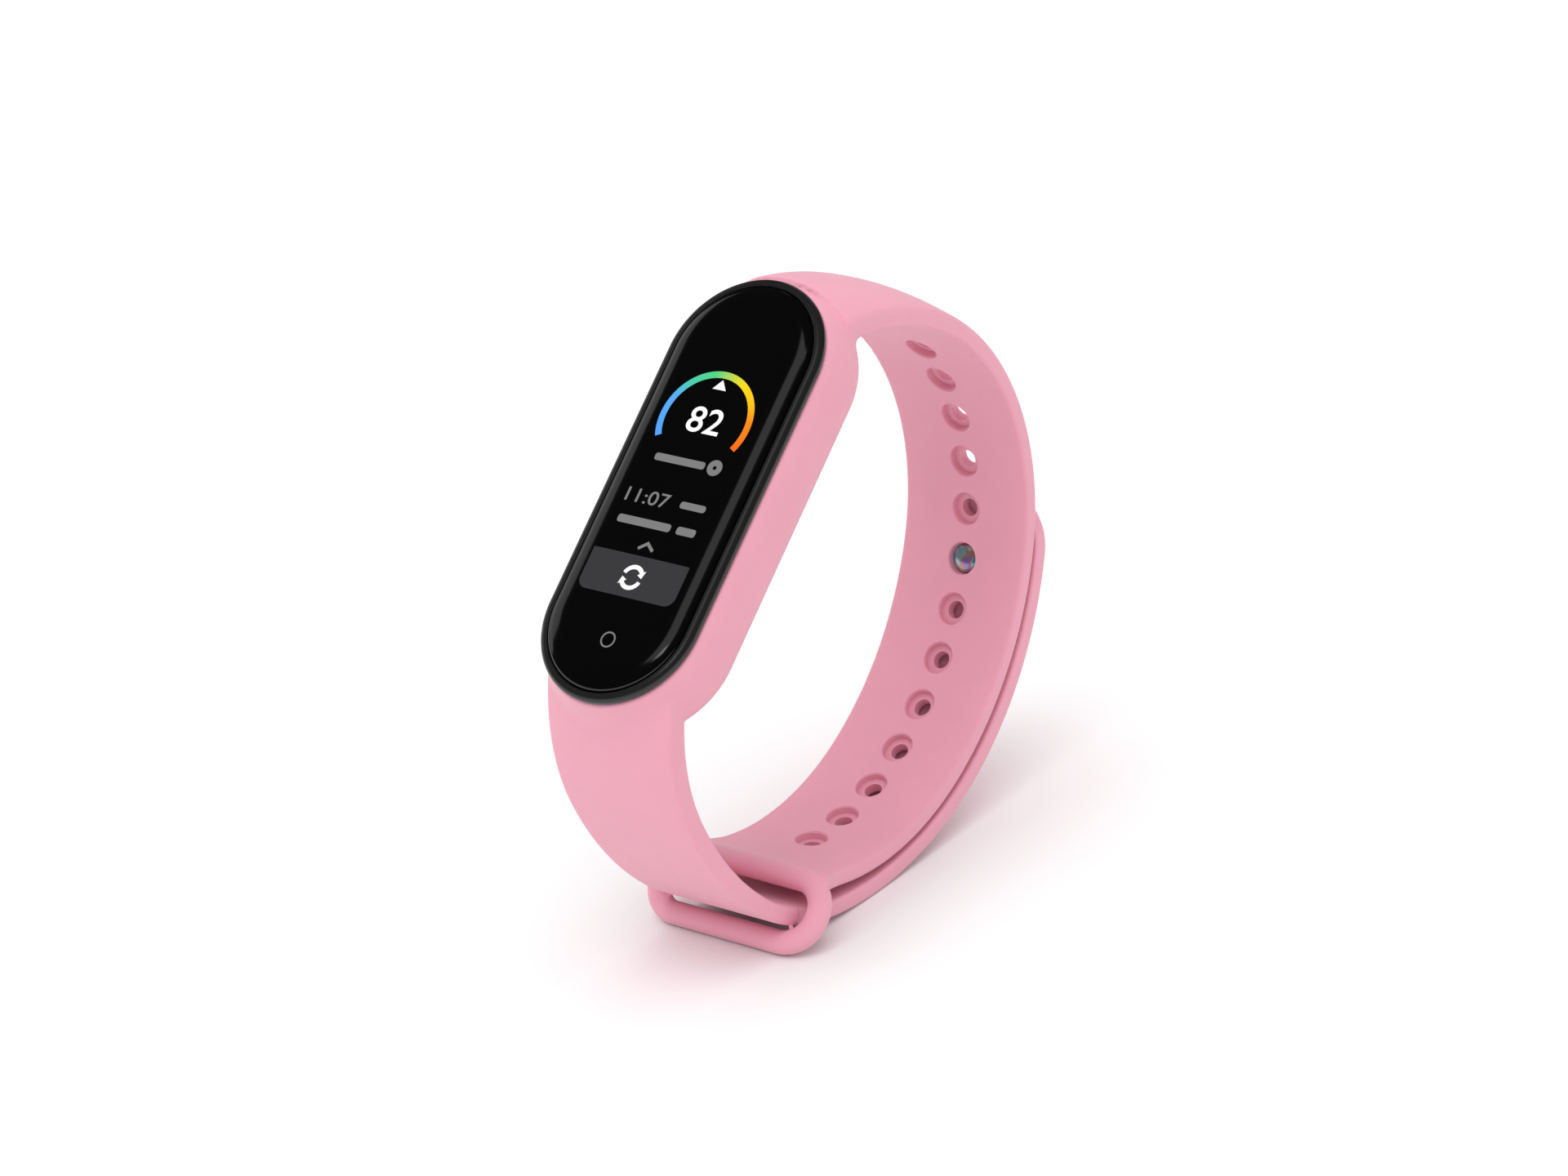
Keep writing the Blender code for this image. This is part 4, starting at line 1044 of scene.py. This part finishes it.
def build_capsule():
    black = gloss_black()
    add_piece("curved_glass", stadium("curved_glass", glass_profile()), black_glass(), "capsule",
              ["cover_glass"])
    add_piece("gloss_rim", stadium("gloss_rim", bezel_profile(), closed=True), black, "capsule",
              ["bezel_housing"])
    add_piece("rear_shell", rear_shell(), satin_black(), "capsule", ["rear_housing"])
    add_piece("sensor_lens", sensor_lens(), smoked_lens(), "capsule", ["sensor_window"])
    gold = inner_look("gold_plate", (0.83, 0.58, 0.22), 0.22, 1.0)
    for side, (x, z) in zip(("left", "right"), CONTACT_PLACES):
        add_piece(f"gold_pad_{side}", gold_pad(x, z), gold, "capsule", [f"charging_contact_{side}"])


def build_screen():
    gauge = (-0.1, 6.9)
    white = lit("white_light", (1.0, 1.0, 1.0), 1.0).material
    grey = lit("grey_light", (0.22, 0.22, 0.22), 1.0).material
    panel = lit("panel_light", (0.045, 0.045, 0.048), 1.0).material
    band = stroke_outline(arc_points(gauge, 5.15, 207.5, -27.0, 96), 0.72)
    shapes = {
        "gauge_arc": (flat_shapes([band]), gauge_light(gauge)),
        "gauge_pointer": (flat_shapes([[(-0.12, 11.5), (-0.92, 10.42), (0.72, 10.42)]]), white),
        "gauge_value": (text_shapes("82", (4.1, 2.8), (0.0, 6.95), 0.008), white),
        "level_bar": (flat_shapes([rounded_outline(6.2, 0.8, (-0.8, 2.3), (0.3,) * 4)]), grey),
        "level_mark": (flat_shapes(ring_outlines((3.5, 2.35), 0.86, 0.22)), grey),
        "clock": (text_shapes("11:07", (5.3, 1.5), (-2.5, -2.1), 0.004), grey),
        "clock_mark": (flat_shapes([rounded_outline(3.1, 0.75, (3.1, -2.1), (0.3,) * 4)]), grey),
        "label_bar": (flat_shapes([rounded_outline(6.6, 0.85, (-1.6, -4.75), (0.3,) * 4)]), grey),
        "label_mark": (flat_shapes([rounded_outline(2.3, 0.85, (3.6, -4.75), (0.3,) * 4)]), grey),
        "swipe_mark": (flat_shapes([stroke_outline([(-0.95, -7.45), (-0.05, -6.75), (0.85, -7.45)],
                                                   0.34)]), grey),
        "button_panel": (flat_shapes([rounded_outline(11.9, 4.45, (-0.1, -10.4),
                                                      (0.15, 0.15, 1.1, 1.1))]), panel),
        "touch_key_ring": (flat_shapes(ring_outlines((0.45, -17.2), 0.85, 0.68)), grey),
    }
    for name, (shape, material) in shapes.items():
        add_piece(name, lay_on_glass(shape, name), material, "capsule")
    sync = lay_on_glass(flat_shapes(sync_outlines((-0.1, -10.5), 1.12, 0.46)), "sync_arrows",
                        lift=0.022 * MM)
    add_piece("sync_arrows", sync, white, "capsule")


def dress_inner_nodes():
    """Procedural materials for the CAD pieces that stay."""
    green = inner_look("solder_mask", (0.015, 0.11, 0.045), 0.38)
    chip = inner_look("chip_package", (0.02, 0.02, 0.022), 0.5)
    steel = inner_look("nickel_steel", (0.55, 0.55, 0.57), 0.28, 1.0)
    looks = {
        "glass_adhesive": inner_look("black_adhesive", (0.02, 0.02, 0.02), 0.65),
        "housing_seal": inner_look("grey_seal", (0.22, 0.22, 0.24), 0.6),
        "touch_sensor": inner_look("touch_film", (0.05, 0.05, 0.06), 0.15),
        "display_panel": inner_look("display_black", (0.01, 0.01, 0.012), 0.12),
        "display_flex": inner_look("polyimide", (0.45, 0.20, 0.03), 0.35),
        "main_board": green,
        "battery_protection_board": green,
        "sensor_board": green,
        "processor_chip": chip,
        "power_chip": chip,
        "motion_sensor_chip": chip,
        "light_barrier": chip,
        "antenna": inner_look("antenna_ceramic", (0.72, 0.72, 0.69), 0.5),
        "battery": inner_look("battery_foil", (0.55, 0.56, 0.58), 0.35, 0.8),
        "battery_tab_left": steel,
        "battery_tab_right": steel,
        "motor_can": steel,
        "motor_shaft": steel,
        "motor_weight": inner_look("tungsten", (0.33, 0.34, 0.36), 0.38, 1.0),
        "sensor_led_lower": inner_look("led_green", (0.2, 0.75, 0.28), 0.25),
        "sensor_led_upper": inner_look("led_green_upper", (0.2, 0.75, 0.28), 0.25),
        "photodiode": inner_look("photodiode_black", (0.03, 0.03, 0.06), 0.12),
        "charging_magnet_lower": steel,
        "charging_magnet_upper": steel,
    }
    for name, material in looks.items():
        for place in frame["nodes"][name].material_slots:
            place.material = material


# ---------------------------------------------------------------- studio
CAMERA_AT = Vector((311.683 * MM, -377.355 * MM, 250.162 * MM))
CAMERA_AZIMUTH = 39.687
CAMERA_ELEVATION = 23.974
CAMERA_ROLL = 5.5585
CAMERA_LENS = 122.04
BAND_CENTRE = Vector((0.0, 0.0, 0.035))
DIFFUSE_ROOM = 0.8
GLOSSY_ROOM = 0.02
FLOOR_HALF = 2.0


def build_camera():
    azimuth = math.radians(CAMERA_AZIMUTH)
    elevation = math.radians(CAMERA_ELEVATION)
    ahead = Vector((-math.sin(azimuth) * math.cos(elevation),
                    math.cos(azimuth) * math.cos(elevation), -math.sin(elevation)))
    level = ahead.to_track_quat("-Z", "Y").to_matrix()
    roll = Matrix.Rotation(math.radians(CAMERA_ROLL), 3, ahead)
    data = bpy.data.cameras.new("camera")
    data.lens = CAMERA_LENS
    data.sensor_width = 36.0
    data.clip_start = 0.01
    camera = bpy.data.objects.new("camera", data)
    camera.matrix_world = Matrix.Translation(CAMERA_AT) @ (roll @ level).to_4x4()
    bpy.context.scene.collection.objects.link(camera)
    bpy.context.scene.camera = camera


def add_softbox(name, towards, distance, size, radiance):
    """Area light facing the band, for the reflections in the glass's edge."""
    ray = Vector(towards).normalized()
    data = bpy.data.lights.new(name, "AREA")
    data.shape = "RECTANGLE"
    data.size, data.size_y = size
    data.energy = radiance * math.pi * size[0] * size[1]
    lamp = bpy.data.objects.new(name, data)
    lamp.location = BAND_CENTRE + distance * ray
    lamp.rotation_euler = (-ray).to_track_quat("-Z", "Y").to_euler()
    bpy.context.scene.collection.objects.link(lamp)


def add_key(towards, strength, softness):
    """Broad even light, as wide as an angle in degrees and kept out of reflections."""
    data = bpy.data.lights.new("key", "SUN")
    data.energy = strength
    data.angle = math.radians(softness)
    lamp = bpy.data.objects.new("key", data)
    lamp.rotation_euler = (-Vector(towards)).to_track_quat("-Z", "Y").to_euler()
    lamp.visible_glossy = False
    bpy.context.scene.collection.objects.link(lamp)


def build_world():
    """White surroundings that light the band and show white, but reflect as a dark room."""
    world = bpy.data.worlds.new("studio")
    world.use_nodes = True
    tree = world.node_tree
    room = tree.nodes["Background"]
    room.inputs["Color"].default_value = (1.0, 1.0, 1.0, 1.0)
    ray = tree.nodes.new("ShaderNodeLightPath")
    lighting = tree.nodes.new("ShaderNodeMath")
    lighting.operation = "MULTIPLY_ADD"
    lighting.inputs[1].default_value = DIFFUSE_ROOM
    lighting.inputs[2].default_value = GLOSSY_ROOM
    shown = tree.nodes.new("ShaderNodeMath")
    tree.links.new(ray.outputs["Is Diffuse Ray"], lighting.inputs[0])
    tree.links.new(lighting.outputs[0], shown.inputs[0])
    tree.links.new(ray.outputs["Is Camera Ray"], shown.inputs[1])
    tree.links.new(shown.outputs[0], room.inputs["Strength"])
    bpy.context.scene.world = world


def build_studio():
    bpy.context.scene.view_settings.view_transform = "Standard"
    build_world()
    add_key((0.1, -0.25, 1.0), 1.2, 55.0)
    add_softbox("left_wall", (-0.92, 0.05, 0.34), 1.0, (0.7, 0.58), 0.7)
    add_softbox("overhead_strip", (-0.05, -0.42, 0.88), 0.8, (0.36, 0.5), 0.8)
    add_softbox("front_top", (0.0, -0.66, 0.75), 0.9, (0.2, 0.12), 3.0)
    add_softbox("back_strip", (-0.28, 0.83, 0.47), 1.0, (0.5, 0.15), 1.5)


def build_floor():
    bm = bmesh.new()
    bmesh.ops.create_grid(bm, x_segments=1, y_segments=1, size=FLOOR_HALF)
    floor = bpy.data.objects.new("floor", finish_mesh(bm, "floor"))
    look = Look("pale_floor", (0.86, 0.86, 0.86), 0.9)
    look.set("Specular IOR Level", 0.1)
    floor.data.materials.append(look.material)
    bpy.context.scene.collection.objects.link(floor)


build_strap()
build_capsule()
build_screen()
dress_inner_nodes()
build_camera()
build_studio()
build_floor()
